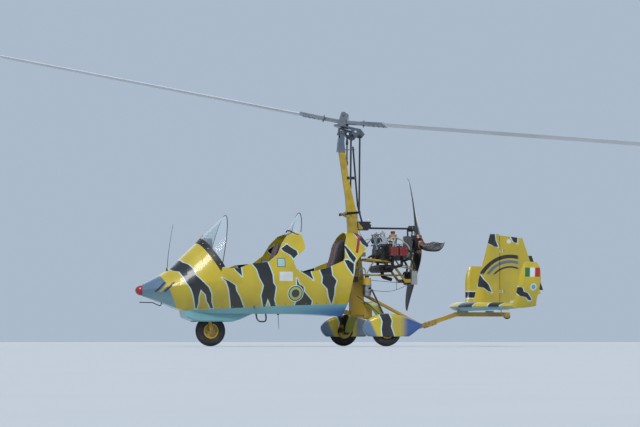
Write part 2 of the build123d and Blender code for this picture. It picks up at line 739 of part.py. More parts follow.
# Outer fin stations above the stabiliser's tip: leading edge x, y and z, chord, thickness
OUTER_FIN_SECTIONS = (
    (-1722, 812, 530, 262, 40), (-1785, FIN_TIP_Y - 4, FIN_TIP_Z - 40, 192, 26),
    (-1810, FIN_TIP_Y, FIN_TIP_Z, 140, 10),
)


def stabiliser():
    half = TUBE / 2
    # The boom passes under the stabiliser, which is notched to sit on it.
    seat = block((-2200, -1200), (-half, half), (300, TAIL_BOOM_Z + half))
    body = one(stabiliser_body() - seat)
    write("stabiliser", body)
    tip_y, nose_x, tail_x, z, thickness = STAB_SECTIONS[-1]
    wires = [foil_wire((nose_x, tip_y, z), (-1, 0, 0), (0, 0.26, -0.96), nose_x - tail_x, thickness)]
    for nose_x, y, z, chord, thickness in OUTER_FIN_SECTIONS:
        wires.append(foil_wire((nose_x, y, z), (-1, 0, 0), (0, 0.97, -0.26), chord, thickness))
    fin = one(Solid.make_loft(wires) - body)
    write("outer_fin_left", fin)
    write("outer_fin_right", mirrored(fin))


# Central fin stations: z, leading edge x, thickness
CENTRAL_FIN_SECTIONS = ((470, -1520, 52), (880, -1626, 50), (1272, -1733, 42))
RUDDER_FOOT_Z = 408.0
RUDDER_TOP_Z = 1256.0
RUDDER_HALF_THICKNESS = 20.0
# The rudder seen from the side, as (x, z) points
RUDDER_OUTLINE = (
    (HINGE_X, RUDDER_TOP_Z), (-2122, 1229), (-2347, 598), (-2228, 551), (-1965, 512),
    (-1955, RUDDER_FOOT_Z), (HINGE_X, RUDDER_FOOT_Z),
)
TAB_OUTLINE = ((-2192, 1030), (-2237, 1030), (-2376, 640), (-2331, 640))
HINGE_Z = (620.0, 1080.0)


def central_fin():
    back_x = HINGE_X + RUDDER_NOSE_RADIUS + MOVING_GAP
    wires = []
    for z, nose_x, thickness in CENTRAL_FIN_SECTIONS:
        wires.append(foil_wire((nose_x, 0, z), (-1, 0, 0), (0, 1, 0), (nose_x - back_x) * 1.9, thickness))
    fin = Solid.make_loft(wires, ruled=True)
    fin = fin - block((back_x, -2400), (-60, 60), (400, 1400))
    for z in HINGE_Z:
        fin = fin + block((back_x + 20, HINGE_X - 10), (-12, 12), (z - 7, z + 7))
        fin = fin - rod((HINGE_X, 0, z - 20), (HINGE_X, 0, z + 20), RUDDER_PIN_RADIUS + RUNNING_GAP)
    write("central_fin", one(fin - stabiliser_body()))


def rudder():
    half = RUDDER_HALF_THICKNESS
    slab = side_plate(RUDDER_OUTLINE, -half, half)
    # The blade thins towards its trailing edge.
    wedge = Wire.make_polygon(
        [(HINGE_X, half, 300), (-2360, 3, 300), (-2360, -3, 300), (HINGE_X, -half, 300)]
    )
    wedge = Solid.extrude(Face(wedge), Vector(0, 0, RUDDER_TOP_Z))
    nose = rod((HINGE_X, 0, RUDDER_FOOT_Z), (HINGE_X, 0, RUDDER_TOP_Z), RUDDER_NOSE_RADIUS)
    body = (slab & wedge) + nose
    for z in HINGE_Z:
        body = body - block((HINGE_X + 40, HINGE_X - 34), (-40, 40), (z - 14, z + 14))
        body = body + rod((HINGE_X, 0, z - 15), (HINGE_X, 0, z + 15), RUDDER_PIN_RADIUS)
        body = body + block((HINGE_X - 30, HINGE_X - 60), (-12, 12), (z - 20, z + 20))
    body = body + rod((HINGE_X, 0, TAIL_BOOM_Z - 14), (HINGE_X, 0, RUDDER_FOOT_Z + 2), RUDDER_PIN_RADIUS)
    tab = side_plate(TAB_OUTLINE, -3, 3)
    horn = block((HINGE_X - 12, HINGE_X + 12), (-70, 70), (RUDDER_FOOT_Z, RUDDER_FOOT_Z + 8))
    write("rudder", one(body + tab + horn))


HEAD = Location((PIVOT_X, 0, PIVOT_Z), (0, -HEAD_TILT, 0))
# The arm runs back to a cross bar between the two plates.
CROSS_BAR = (-178.0, 14.0)
CROSS_BAR_RADIUS = 13.0
# A torque plate seen from the side in the head's frame, as (x, z) points, and the hole in it
TORQUE_PLATE = (
    (-34, 65), (-170, 64), (-226, 17), (-202, -32), (-180, -44), (-150, -42), (-104, -28),
)
TORQUE_PLATE_HOLE = (-116.0, 22.0)
TORQUE_PLATE_THICKNESS = 8.0


def to_world(x, y, z):
    lean = math.radians(-HEAD_TILT)
    return (
        PIVOT_X + x * math.cos(lean) + z * math.sin(lean), y,
        PIVOT_Z - x * math.sin(lean) + z * math.cos(lean),
    )


def gimbal():
    body = block((-21, 21), (-22, 22), (-36, 20))
    body = body.fillet(6, body.edges().filter_by(Axis.Y))
    pivot_bore = across(0, 0, -60, 60, PITCH_PIN_RADIUS + RUNNING_GAP)
    roll_pin = rod((-33, 0, -ROLL_AXIS_DROP), (33, 0, -ROLL_AXIS_DROP), ROLL_PIN_RADIUS)
    roll_pin = roll_pin - block((-20, 20), (-30, 30), (-60, 60))
    body = body - pivot_bore
    write("gimbal_block", one(body + roll_pin).moved(HEAD))


def torque_plate():
    # The bridge runs over the gimbal block and carries the spindle housing.
    bridge = block((-44, 44), (-15, 15), (30, 42))
    housing = rod((0, 0, 40), (0, 0, RING_BASE - 7), 30)
    spindle = rod((0, 0, 40), (0, 0, RING_BASE + RING_THICKNESS + 14), SPINDLE_RADIUS)
    whole = bridge + housing + spindle
    for way in (-1, 1):
        cheek = block((way * 28, way * 40), (-18, 18), (-ROLL_AXIS_DROP - 12, 34))
        whole = whole + cheek
    roll_bore = rod((-60, 0, -ROLL_AXIS_DROP), (60, 0, -ROLL_AXIS_DROP), ROLL_PIN_RADIUS + RUNNING_GAP)
    whole = whole - roll_bore
    arm = side_plate(((-36, 42), (-36, 24), (-180, 6), (-186, 30)), -16, 16)
    whole = whole + arm + across(*CROSS_BAR, -CRANK_PLATE_Y, CRANK_PLATE_Y, CROSS_BAR_RADIUS)
    inner_y = CRANK_PLATE_Y - TORQUE_PLATE_THICKNESS
    plate = side_plate(TORQUE_PLATE, inner_y, CRANK_PLATE_Y)
    plate = plate - across(*TORQUE_PLATE_HOLE, inner_y - 1, CRANK_PLATE_Y + 1, 15)
    for side in both_sides(plate):
        whole = whole + side
    write("torque_plate", one(whole).moved(HEAD))


def blade_frame():
    return HEAD * Location((0, 0, 0), (0, 0, BLADE_AZIMUTH))


def cone_frame(way):
    """Where one half of the rotor stands, raised by the precone."""
    return Location((0, 0, BAR_HEIGHT), (0, -way * PRECONE, 0))


@functools.cache
def rotor_blades():
    """The fore and the aft blade, in place."""
    blades = []
    quarter = BLADE_CHORD / 4
    for way in (1, -1):
        # Anticlockwise seen from above, so each leading edge faces its own way round.
        wire = foil_wire(
            (way * GRIP_REACH, way * quarter, 0), (0, -way, 0), (0, 0, 1), BLADE_CHORD, BLADE_THICKNESS
        )
        blade = Solid.extrude(Face(wire), Vector(way * (ROTOR_RADIUS - GRIP_REACH), 0, 0))
        blades.append(blade.moved(blade_frame() * cone_frame(way)))
    return blades


@functools.cache
def rotor_plan_middle_x():
    """The middle of both blades' plan along X."""
    boxes = [blade.bounding_box() for blade in rotor_blades()]
    return (min(box.min.X for box in boxes) + max(box.max.X for box in boxes)) / 2


TOOTH_COUNT = 48
TOOTH_GAP_RADIUS = 2.6


def rotor_drive():
    """The ring gear and the two towers that hold the teeter bolt."""
    deck = RING_BASE + RING_THICKNESS
    ring = rod((0, 0, RING_BASE), (0, 0, deck), RING_RADIUS)
    for index in range(TOOTH_COUNT):
        angle = math.radians(360 / TOOTH_COUNT * index)
        centre = (RING_RADIUS * math.cos(angle), RING_RADIUS * math.sin(angle))
        ring = ring - rod((*centre, RING_BASE - 1), (*centre, deck + 1), TOOTH_GAP_RADIUS)
    hub = rod((0, 0, RING_BASE), (0, 0, deck + 12), 34)
    whole = ring + hub
    inner_y, outer_y = BAR_WIDTH / 2 + 7, BAR_WIDTH / 2 + 17
    tower = side_plate(
        ((-50, deck), (50, deck), (28, TOWER_TOP - 12), (18, TOWER_TOP), (-18, TOWER_TOP),
         (-28, TOWER_TOP - 12)),
        inner_y, outer_y,
    )
    foot = block((-50, 50), (20, outer_y), (deck - 1, deck + 8))
    for side in both_sides(tower) + both_sides(foot):
        whole = whole + side
    whole = whole - rod((0, 0, 0), (0, 0, deck + 20), SPINDLE_RADIUS + RUNNING_GAP)
    whole = whole - across(0, TEETER_HEIGHT, -90, 90, TEETER_BOLT_RADIUS + RUNNING_GAP)
    write("rotor_drive", one(whole).moved(blade_frame()))


def hub_bar():
    low, high = BAR_HEIGHT - BAR_THICKNESS / 2, BAR_HEIGHT + BAR_THICKNESS / 2
    half, crest = BAR_WIDTH / 2, TEETER_HEIGHT + 20
    bar = block((-60, 60), (-half, half), (low, high))
    teeter_block = side_plate(((-46, high), (46, high), (22, crest), (-22, crest)), -half, half)
    bar = bar + teeter_block + across(0, TEETER_HEIGHT, -half - 24, half + 24, TEETER_BOLT_RADIUS)
    for way in (-1, 1):
        root = block((way * 40, way * BAR_REACH), (-half, half), (-17, 17))
        start = way * (BAR_REACH - 35)
        grip_outline = ((start, 62), (way * GRIP_REACH, 92), (way * GRIP_REACH, -60), (start, -62))
        grip = Face(Wire.make_polygon([(x, y, -16) for x, y in grip_outline]))
        grip = Solid.extrude(grip, Vector(0, 0, 32))
        bar = bar + (root + grip).moved(cone_frame(way))
    write("hub_bar", one(bar).moved(blade_frame()))
    fore, aft = rotor_blades()
    write("rotor_blade_fore", fore)
    write("rotor_blade_aft", aft)


# Propeller stations: share of the radius, chord, thickness, pitch, sweep of the nose
PROP_STATIONS = (
    (0.065, 68, 48, 62, 0), (0.2, 112, 34, 48, 6), (0.45, 124, 20, 30, 4),
    (0.75, 104, 13, 20, -12), (0.93, 70, 8, 16, -44), (1.0, 34, 5, 15, -82),
)
# Belt pulley on the propeller's shaft: its two x, measured from the propeller, and its radii
PULLEY_X = (50.0, 82.0)
PULLEY_RADIUS = 100.0
PULLEY_GROOVE_RADIUS = 88.0


def propeller():
    here = Location((PROP_X, 0, PROP_Z))
    back, front = PULLEY_X
    hub = rod((-34, 0, 0), (34, 0, 0), PROP_HUB_RADIUS) + rod((34, 0, 0), (46, 0, 0), 76)
    hub = hub + rod((44, 0, 0), (front, 0, 0), PULLEY_GROOVE_RADIUS)
    for x in (back, front - 8):
        hub = hub + rod((x, 0, 0), (x + 8, 0, 0), PULLEY_RADIUS)
    shaft = rod((34, 0, 0), (PROP_SHAFT_REACH, 0, 0), PROP_SHAFT_RADIUS)
    spinner = rod((-34, 0, 0), (-46, 0, 0), 40)
    write("prop_hub", one(hub + shaft + spinner).moved(here))
    blades = []
    for angle in PROP_ANGLES:
        turn = math.radians(angle)
        span = Vector(0, math.sin(turn), math.cos(turn))
        ahead = Vector(0, math.cos(turn), -math.sin(turn))
        wires = []
        for share, chord, thickness, pitch, sweep in PROP_STATIONS:
            twist = math.radians(pitch)
            aft = ahead * -math.cos(twist) + Vector(-math.sin(twist), 0, 0)
            side = ahead * -math.sin(twist) + Vector(math.cos(twist), 0, 0)
            nose = span * (share * PROP_RADIUS) - aft * (chord * 0.4) + ahead * sweep
            wires.append(foil_wire(nose, aft, side, chord, thickness, 2.0))
        blade = Solid.make_loft(wires)
        blade = blade - rod((-60, 0, 0), (60, 0, 0), PROP_HUB_RADIUS)
        blades.append(one(blade).moved(here))
    write("prop_blades", *blades)


# Engine parts seen from the side, as (x, z) points
CASE_OUTLINE = (
    (-405, 1000), (-440, 985), (-700, 985), (-718, 1005), (-718, 1100), (-700, CASE_TOP_Z),
    (-440, CASE_TOP_Z), (-405, 1105),
)
GEARBOX_OUTLINE = ((-715, 985), (-770, 1000), (-770, 1210), (-745, 1236), (-715, 1236))
GEARBOX_HALF_WIDTH = 72.0
COOLANT_TANK_X = -570.0
MUFFLER_X = (-388.0, -474.0)


def gearbox():
    return side_plate(GEARBOX_OUTLINE, -GEARBOX_HALF_WIDTH, GEARBOX_HALF_WIDTH)


# Mount rail seen from the side, as (x, z) points
MOUNT_RAIL_LINE = ((-205, 965), (-269, 965), (-510, 939), (-679, 726))


def mount_rail():
    """The port rail of the engine mount, from the mast back and down to the radiator."""
    points = [(x, MOUNT_RAIL_Y, z) for x, z in MOUNT_RAIL_LINE]
    return bent_tube(points, MOUNT_RAIL_RADIUS, 26)


def engine():
    case = side_plate(CASE_OUTLINE, -CASE_HALF_WIDTH, CASE_HALF_WIDTH)
    case = case.fillet(16, case.edges().filter_by(Axis.Y))
    magneto = rod((-352, 0, CRANKSHAFT_Z), (-410, 0, CRANKSHAFT_Z), 82)
    starter = rod((-345, -58, 1012), (-412, -58, 1012), 34)
    sump = block((-450, -690), (-50, 50), (960, 990))
    front_x = PROP_X + PULLEY_X[1] + MOVING_GAP
    snout = rod((GEARBOX_OUTLINE[1][0] + 10, 0, PROP_Z), (front_x, 0, PROP_Z), 48)
    whole = case + magneto + starter + sump + gearbox() + snout
    # Two feet on each side stand on the mount's rails.
    foot = block((-425, -385), (CASE_HALF_WIDTH - 20, MOUNT_RAIL_Y + 12), (940, 1000))
    rear_foot = block((-520, -480), (CASE_HALF_WIDTH - 20, MOUNT_RAIL_Y + 12), (935, 1000))
    for side in both_sides(foot - mount_rail()) + both_sides(rear_foot - mount_rail()):
        whole = whole + one(side)
    bore = rod((GEARBOX_OUTLINE[1][0] + 5, 0, PROP_Z), (PROP_X, 0, PROP_Z), PROP_SHAFT_RADIUS + RUNNING_GAP)
    write("engine_case", one(whole - bore))


def cylinders():
    heads = []
    for x, side in CYLINDERS:
        barrel = across(x, CRANKSHAFT_Z, side * CASE_HALF_WIDTH, side * (HEAD_INNER_Y + 20), BARREL_RADIUS)
        for index in range(FIN_COUNT):
            y = CASE_HALF_WIDTH + 10 + index * FIN_PITCH
            fin = block((x - 46, x + 46), (side * y, side * (y + 5)), (CRANKSHAFT_Z - 50, CRANKSHAFT_Z + 50))
            barrel = barrel + fin
        head = block(
            (x - 48, x + 48), (side * HEAD_INNER_Y, side * HEAD_OUTER_Y),
            (CRANKSHAFT_Z - HEAD_HALF_HEIGHT, CRANKSHAFT_Z + HEAD_HALF_HEIGHT),
        )
        cover_y = (side * HEAD_OUTER_Y, side * COVER_FACE_Y)
        cover = block((x - 46, x + 46), cover_y, (CRANKSHAFT_Z - 46, CRANKSHAFT_Z + 46))
        cover = cover.fillet(14, cover.edges().filter_by(Axis.Y))
        heads.append(one(barrel + head + cover))
    write("cylinders", *heads)


def exhaust():
    front, back = MUFFLER_X
    muffler = block((back, front), (-190, 190), (MUFFLER_Z - MUFFLER_RADIUS, MUFFLER_Z + MUFFLER_RADIUS))
    for x in MUFFLER_X:
        muffler = muffler + across(x, MUFFLER_Z, -190, 190, MUFFLER_RADIUS)
    middle = (front + back) / 2
    port_y = HEAD_OUTER_Y - 31
    for x, side in CYLINDERS:
        foot_x = middle + (x + 532) * 0.5
        pipe = bent_tube(
            [(x, side * port_y, CRANKSHAFT_Z - HEAD_HALF_HEIGHT), (x, side * port_y, 900),
             (foot_x, side * (port_y - 3), MUFFLER_Z + 2), (foot_x, side * 150, MUFFLER_Z)],
            16, 22,
        )
        muffler = muffler + pipe
    tail_pipe = bent_tube([(middle, 40, MUFFLER_Z - 20), (middle, 40, 776), (middle - 110, 40, 745)], 20, 30)
    write("exhaust_muffler", one(muffler + tail_pipe))


def intake():
    """Two carburettors, each with the manifold to its side's heads."""
    sides = []
    for side in (1, -1):
        body = block((-372, -452), (side * 78, side * 142), (1141, 1222))
        bowl = rod((-412, side * 110, 1222), (-412, side * 110, 1262), 30)
        manifold = bent_tube(
            [(-448, side * 110, 1180), (-532, side * 110, 1180), (-532, side * 150, 1170),
             (-532, side * 215, 1100)],
            16, 24,
        )
        below = block((-700, -300), (side * 100, side * 300), (900, CRANKSHAFT_Z + HEAD_HALF_HEIGHT))
        sides.append(one(body + bowl + manifold - below))
    write("intake", *sides)


def coolant_tank():
    x = COOLANT_TANK_X
    tank = rod((x, 0, CASE_TOP_Z), (x, 0, CASE_TOP_Z + 16), 20)
    tank = tank + rod((x, 0, CASE_TOP_Z + 16), (x, 0, 1252), 44) + rod((x, 0, 1252), (x, 0, 1282), 22)
    write("coolant_tank", one(tank))


# Radiator: front and back x, half-width of the core and of the whole, bottom and top z
RADIATOR_X = (-744.0, -809.0)
RADIATOR_HALF_WIDTHS = (115.0, 150.0)
RADIATOR_Z = (690.0, 842.0)


def engine_mount():
    rail_x, rail_z = MOUNT_RAIL_LINE[0]
    end_x, end_z = MOUNT_RAIL_LINE[-1]
    rail = mount_rail()
    brace = rod((-205, MAST_HALF_WIDTH, 797), (-625, MOUNT_RAIL_Y, 794), 8)
    lug_y = (MOUNT_RAIL_Y - 10, MOUNT_RAIL_Y + 10)
    lug = block((RADIATOR_X[0], end_x + 12), lug_y, (end_z - 14, end_z + 26))
    whole = across(rail_x, rail_z, -MOUNT_RAIL_Y, MOUNT_RAIL_Y, MOUNT_RAIL_RADIUS + 2)
    whole = whole + across(-625, 794, -MOUNT_RAIL_Y, MOUNT_RAIL_Y, 10)
    for side in both_sides(rail) + both_sides(brace) + both_sides(lug):
        whole = whole + side
    write("engine_mount", one(whole - mast_body()))


def radiator():
    front, back = RADIATOR_X
    core_half, half = RADIATOR_HALF_WIDTHS
    low, high = RADIATOR_Z
    body = block((front - 3, back + 3), (-core_half, core_half), (low + 5, high - 5))
    for side in both_sides(block((front, back), (core_half, half), (low, high))):
        body = body + side
    write("radiator", one(body))


def oil_tank():
    x, y = -226, 118
    tank = rod((x, y, 562), (x, y, 758), 49) + rod((x, y, 758), (x, y, 772), 22)
    post_side = POST_HALF_WIDTH
    bracket = block((-213, x), (post_side + 1, y - 40), (700, 740))
    bracket = bracket + block((-160, x), (post_side, post_side + 6), (700, 740))
    write("oil_tank", one(tank + bracket))


PREROTATOR_Z = 1322.0


def prerotator():
    upright = rod((-155, 0, 1570), (-100, 0, 2235), 10)
    elbow = rod((-155, 0, 1574), (-205, 0, 1390), 10)
    gear = block((-130, -275), (-30, 30), (1295, 1395))
    gear = gear.fillet(12, gear.edges().filter_by(Axis.Y))
    drive = rod((-270, 0, PREROTATOR_Z), (-760, 0, PREROTATOR_Z), 11)
    end_pulley = rod((-757, 0, PREROTATOR_Z), (-790, 0, PREROTATOR_Z), 34)
    clamp = block((-128, -20), (-MAST_HALF_WIDTH - 4, MAST_HALF_WIDTH + 4), (1866, 1896))
    leg = rod((-745, 0, 1225), (-745, 0, PREROTATOR_Z), 10)
    whole = upright + elbow + gear + drive + end_pulley + clamp + leg
    write("prerotator_shaft", one(whole - mast_body() - gearbox()))


def controls():
    rods = []
    top, foot = ROD_TOP, ROD_FOOT
    for side in (1, -1):
        shaft = rod((top[0], side * ROD_Y, top[1] - 14), (foot[0], side * ROD_Y, foot[1] + 14), ROD_RADIUS)
        for (x, z), gap in ((top, ROLL_GAP), (foot, RUNNING_GAP)):
            eye = across(x, z, side * (ROD_Y - 6), side * (ROD_Y + 6), 18)
            stub = across(x, z, side * (CRANK_PLATE_Y + gap), side * (ROD_Y + 10), 6)
            shaft = shaft + eye + stub
        rods.append(one(shaft))
    write("push_rods", *rods)
    crank = across(CRANK_X, CRANK_Z, -CRANK_PLATE_Y + 2, CRANK_PLATE_Y - 2, CRANK_TUBE_RADIUS)
    arm = side_plate(
        ((CRANK_X + 16, CRANK_Z + 16), (CRANK_X + 16, CRANK_Z - 16), (foot[0] - 12, foot[1] - 12),
         (foot[0] - 12, foot[1] + 12)),
        CRANK_PLATE_Y - 8, CRANK_PLATE_Y,
    )
    for side in both_sides(arm):
        crank = crank + side
    write("bellcrank", one(crank))


def main():
    os.makedirs("parts", exist_ok=True)
    outer, inner = fuselage()
    nose_cap()
    pitot_probe(outer)
    windscreens(outer)
    seats()
    cockpit(inner)
    keel_frame()
    mast()
    gear_bow()
    gear_struts()
    axles()
    wheel_pants()
    wheels()
    nose_fork()
    stabiliser()
    central_fin()
    rudder()
    gimbal()
    torque_plate()
    rotor_drive()
    hub_bar()
    propeller()
    engine()
    cylinders()
    exhaust()
    intake()
    coolant_tank()
    engine_mount()
    radiator()
    oil_tank()
    prerotator()
    controls()


main()
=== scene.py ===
import math

import bmesh
import bpy
from mathutils import Matrix, Vector
from mathutils.bvhtree import BVHTree


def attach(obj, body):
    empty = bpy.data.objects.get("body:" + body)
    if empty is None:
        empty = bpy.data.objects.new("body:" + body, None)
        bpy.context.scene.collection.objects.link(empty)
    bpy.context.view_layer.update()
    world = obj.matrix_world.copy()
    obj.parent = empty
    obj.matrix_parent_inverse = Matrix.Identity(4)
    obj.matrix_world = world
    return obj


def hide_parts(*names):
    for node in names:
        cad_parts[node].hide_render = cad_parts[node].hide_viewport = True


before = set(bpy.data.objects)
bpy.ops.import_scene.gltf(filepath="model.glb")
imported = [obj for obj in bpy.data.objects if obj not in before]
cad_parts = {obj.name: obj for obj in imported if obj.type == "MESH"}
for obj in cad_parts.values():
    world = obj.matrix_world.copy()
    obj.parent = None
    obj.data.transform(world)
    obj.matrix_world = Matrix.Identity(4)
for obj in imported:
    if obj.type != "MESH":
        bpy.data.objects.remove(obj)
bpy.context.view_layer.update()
bpy.context.scene.view_settings.view_transform = "Standard"

# Materials, the camera and the frames are in metres. Tables and the points that build pieces are in
# millimetres of the part's drawing, which the part's source moves by this much in X.
DRAWING_SHIFT = Matrix.Translation((0.032064, 0, 0))
# The rotor head's frame, and the blades' frame turned within it
HEAD = Matrix.Translation((0.033, 0, 2.39)) @ Matrix.Rotation(math.radians(-10.5), 4, "Y")
BLADE_FRAME = HEAD @ Matrix.Rotation(math.radians(-34), 4, "Z")
SIDES = (1, -1)
UP = (0, 0, 1)
AHEAD = (1, 0, 0)
AFT = (-1, 0, 0)


def mm(value):
    """Millimetres as metres: one length, or a nest of them."""
    if isinstance(value, (int, float)):
        return value / 1000
    return tuple(mm(part) for part in value)


def turns(count, start=0.0):
    """The cosines and sines of evenly spaced turns round a circle."""
    angles = [2 * math.pi * (index + start) / count for index in range(count)]
    return [(math.cos(angle), math.sin(angle)) for angle in angles]


def paint(*shown):
    """A colour as it shows on a screen, turned into the linear values that nodes take."""
    linear = [((c + 0.055) / 1.055) ** 2.4 if c > 0.04045 else c / 12.92 for c in shown]
    return (*linear, 1.0)


YELLOW = paint(0.8, 0.71, 0.17)
NAVY = paint(0.055, 0.065, 0.105)
PALE_CYAN = paint(0.78, 0.9, 0.9)
SLATE = paint(0.36, 0.47, 0.58)
TEAL = paint(0.47, 0.69, 0.72)
SEA_BLUE = paint(0.05, 0.33, 0.62)
RED = paint(0.62, 0.1, 0.16)
WHITE = paint(0.88, 0.9, 0.91)
BLACK = paint(0.07, 0.075, 0.085)
GREEN_FLAG = paint(0.06, 0.45, 0.22)
RED_FLAG = paint(0.7, 0.12, 0.16)

# Stripes on the fuselage: the front edge and the aft edge, each as (z, x) points going up.
# A cut is taken out of the stripe before it.
BODY_STRIPES = (
    ("stripe",
     ((414, 1782), (471, 1799), (550, 1823), (629, 1859), (686, 1906), (743, 1930), (812, 1966),
      (824, 2025), (858, 2054), (930, 2100)),
     ((414, 1591), (482, 1621), (573, 1633), (642, 1669), (721, 1752), (778, 1811), (835, 1823),
      (892, 1870), (915, 1918), (972, 1947))),
    ("cut", ((390, 1770), (470, 1762), (540, 1768), (618, 1752)),
     ((390, 1612), (450, 1640), (493, 1672), (560, 1690), (618, 1752))),
    ("stripe", ((414, 1395), (516, 1419), (629, 1443), (710, 1478), (743, 1526)),
     ((414, 1252), (539, 1313), (607, 1359), (664, 1372), (710, 1443), (743, 1526))),
    ("stripe", ((767, 1300), (820, 1360), (870, 1400)), ((767, 1300), (800, 1303), (870, 1312))),
    ("stripe",
     ((390, 1030), (433, 1039), (554, 1071), (663, 1050), (752, 1102), (841, 1132), (907, 1185),
      (960, 1230)),
     ((390, 870), (423, 889), (513, 925), (653, 915), (693, 946), (782, 956), (841, 976), (922, 1008),
      (960, 1010))),
    ("cut", ((390, 1018), (450, 1012), (523, 997)), ((390, 945), (460, 962), (523, 997))),
    ("stripe", ((400, 700), (500, 665), (560, 615), (600, 655), (660, 672), (742, 680)),
     ((400, 500), (500, 492), (560, 550), (600, 590), (655, 600), (680, 650), (742, 676))),
    ("stripe", ((732, 489), (780, 560), (817, 624), (860, 670)),
     ((732, 489), (760, 498), (795, 514), (860, 530))),
    ("stripe", ((463, 262), (544, 301), (633, 322), (693, 385), (762, 379), (823, 405), (900, 420)),
     ((463, 260), (573, 239), (653, 239), (722, 218), (782, 270), (900, 285))),
    ("stripe", ((962, 706), (1001, 738), (1041, 811), (1071, 841), (1121, 769)),
     ((962, 706), (1011, 655), (1051, 665), (1081, 717), (1121, 769))),
    ("stripe", ((922, 10), (991, 62), (1071, 94), (1112, 110)),
     ((922, 10), (972, -21), (1051, 41), (1112, 90))),
    ("stripe", ((792, 25), (872, 83), (952, 120)), ((792, 20), (912, 10), (952, 70))),
    ("stripe", ((1110, -150), (1134, -113), (1167, -96), (1208, -71), (1320, -40)),
     ((1100, -400), (1320, -400))),
)
FIN_STRIPES = (
    ("stripe", ((1127, -1800), (1131, -1751), (1166, -1686), (1300, -1600)),
     ((1127, -1800), (1202, -1767), (1268, -1759), (1300, -1755))),
    ("stripe", ((1174, -2033), (1182, -1988), (1249, -1951), (1300, -1930)),
     ((1174, -2033), (1233, -2037), (1300, -2045))),
    ("stripe", ((610, -1718), (626, -1669), (661, -1620), (673, -1555), (771, -1571), (849, -1543)),
     ((610, -1718), (700, -1677), (755, -1620), (818, -1579), (849, -1543))),
)
OUTER_FIN_STRIPES = (
    ("stripe", ((509, -1860), (544, -1818), (556, -1745), (599, -1696), (654, -1716)),
     ((509, -1880), (517, -1896), (587, -1835), (603, -1785), (650, -1761), (654, -1716))),
)
PANT_STRIPES = (
    ("stripe", ((50, -142), (103, -142), (187, -131), (267, -142), (336, -116), (400, -110)),
     ((50, -290), (103, -277), (216, -235), (277, -245), (331, -224), (400, -210))),
)
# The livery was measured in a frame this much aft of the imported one.
LIVERY_SHIFT = 0.0085
# Width of a stripe's pale border, and of the blend at the edge of a stripe and of a disc
BORDER = 0.013
SOFT_EDGE = 0.002
DISC_EDGE = 0.003
# A curve node holds x from minus half to half of this length.
CURVE_SPAN = 6.0


def feed(tree, socket, value):
    """Links a node's output to a socket, or sets a plain value there."""
    if isinstance(value, bpy.types.NodeSocket):
        tree.links.new(value, socket)
    elif value is not None:
        socket.default_value = value


def add_node(tree, kind, *values, **settings):
    """A new node with its settings, and its first sockets fed with the values."""
    node = tree.nodes.new(kind)
    for key, value in settings.items():
        setattr(node, key, value)
    for socket, value in zip(node.inputs, values):
        feed(tree, socket, value)
    return node


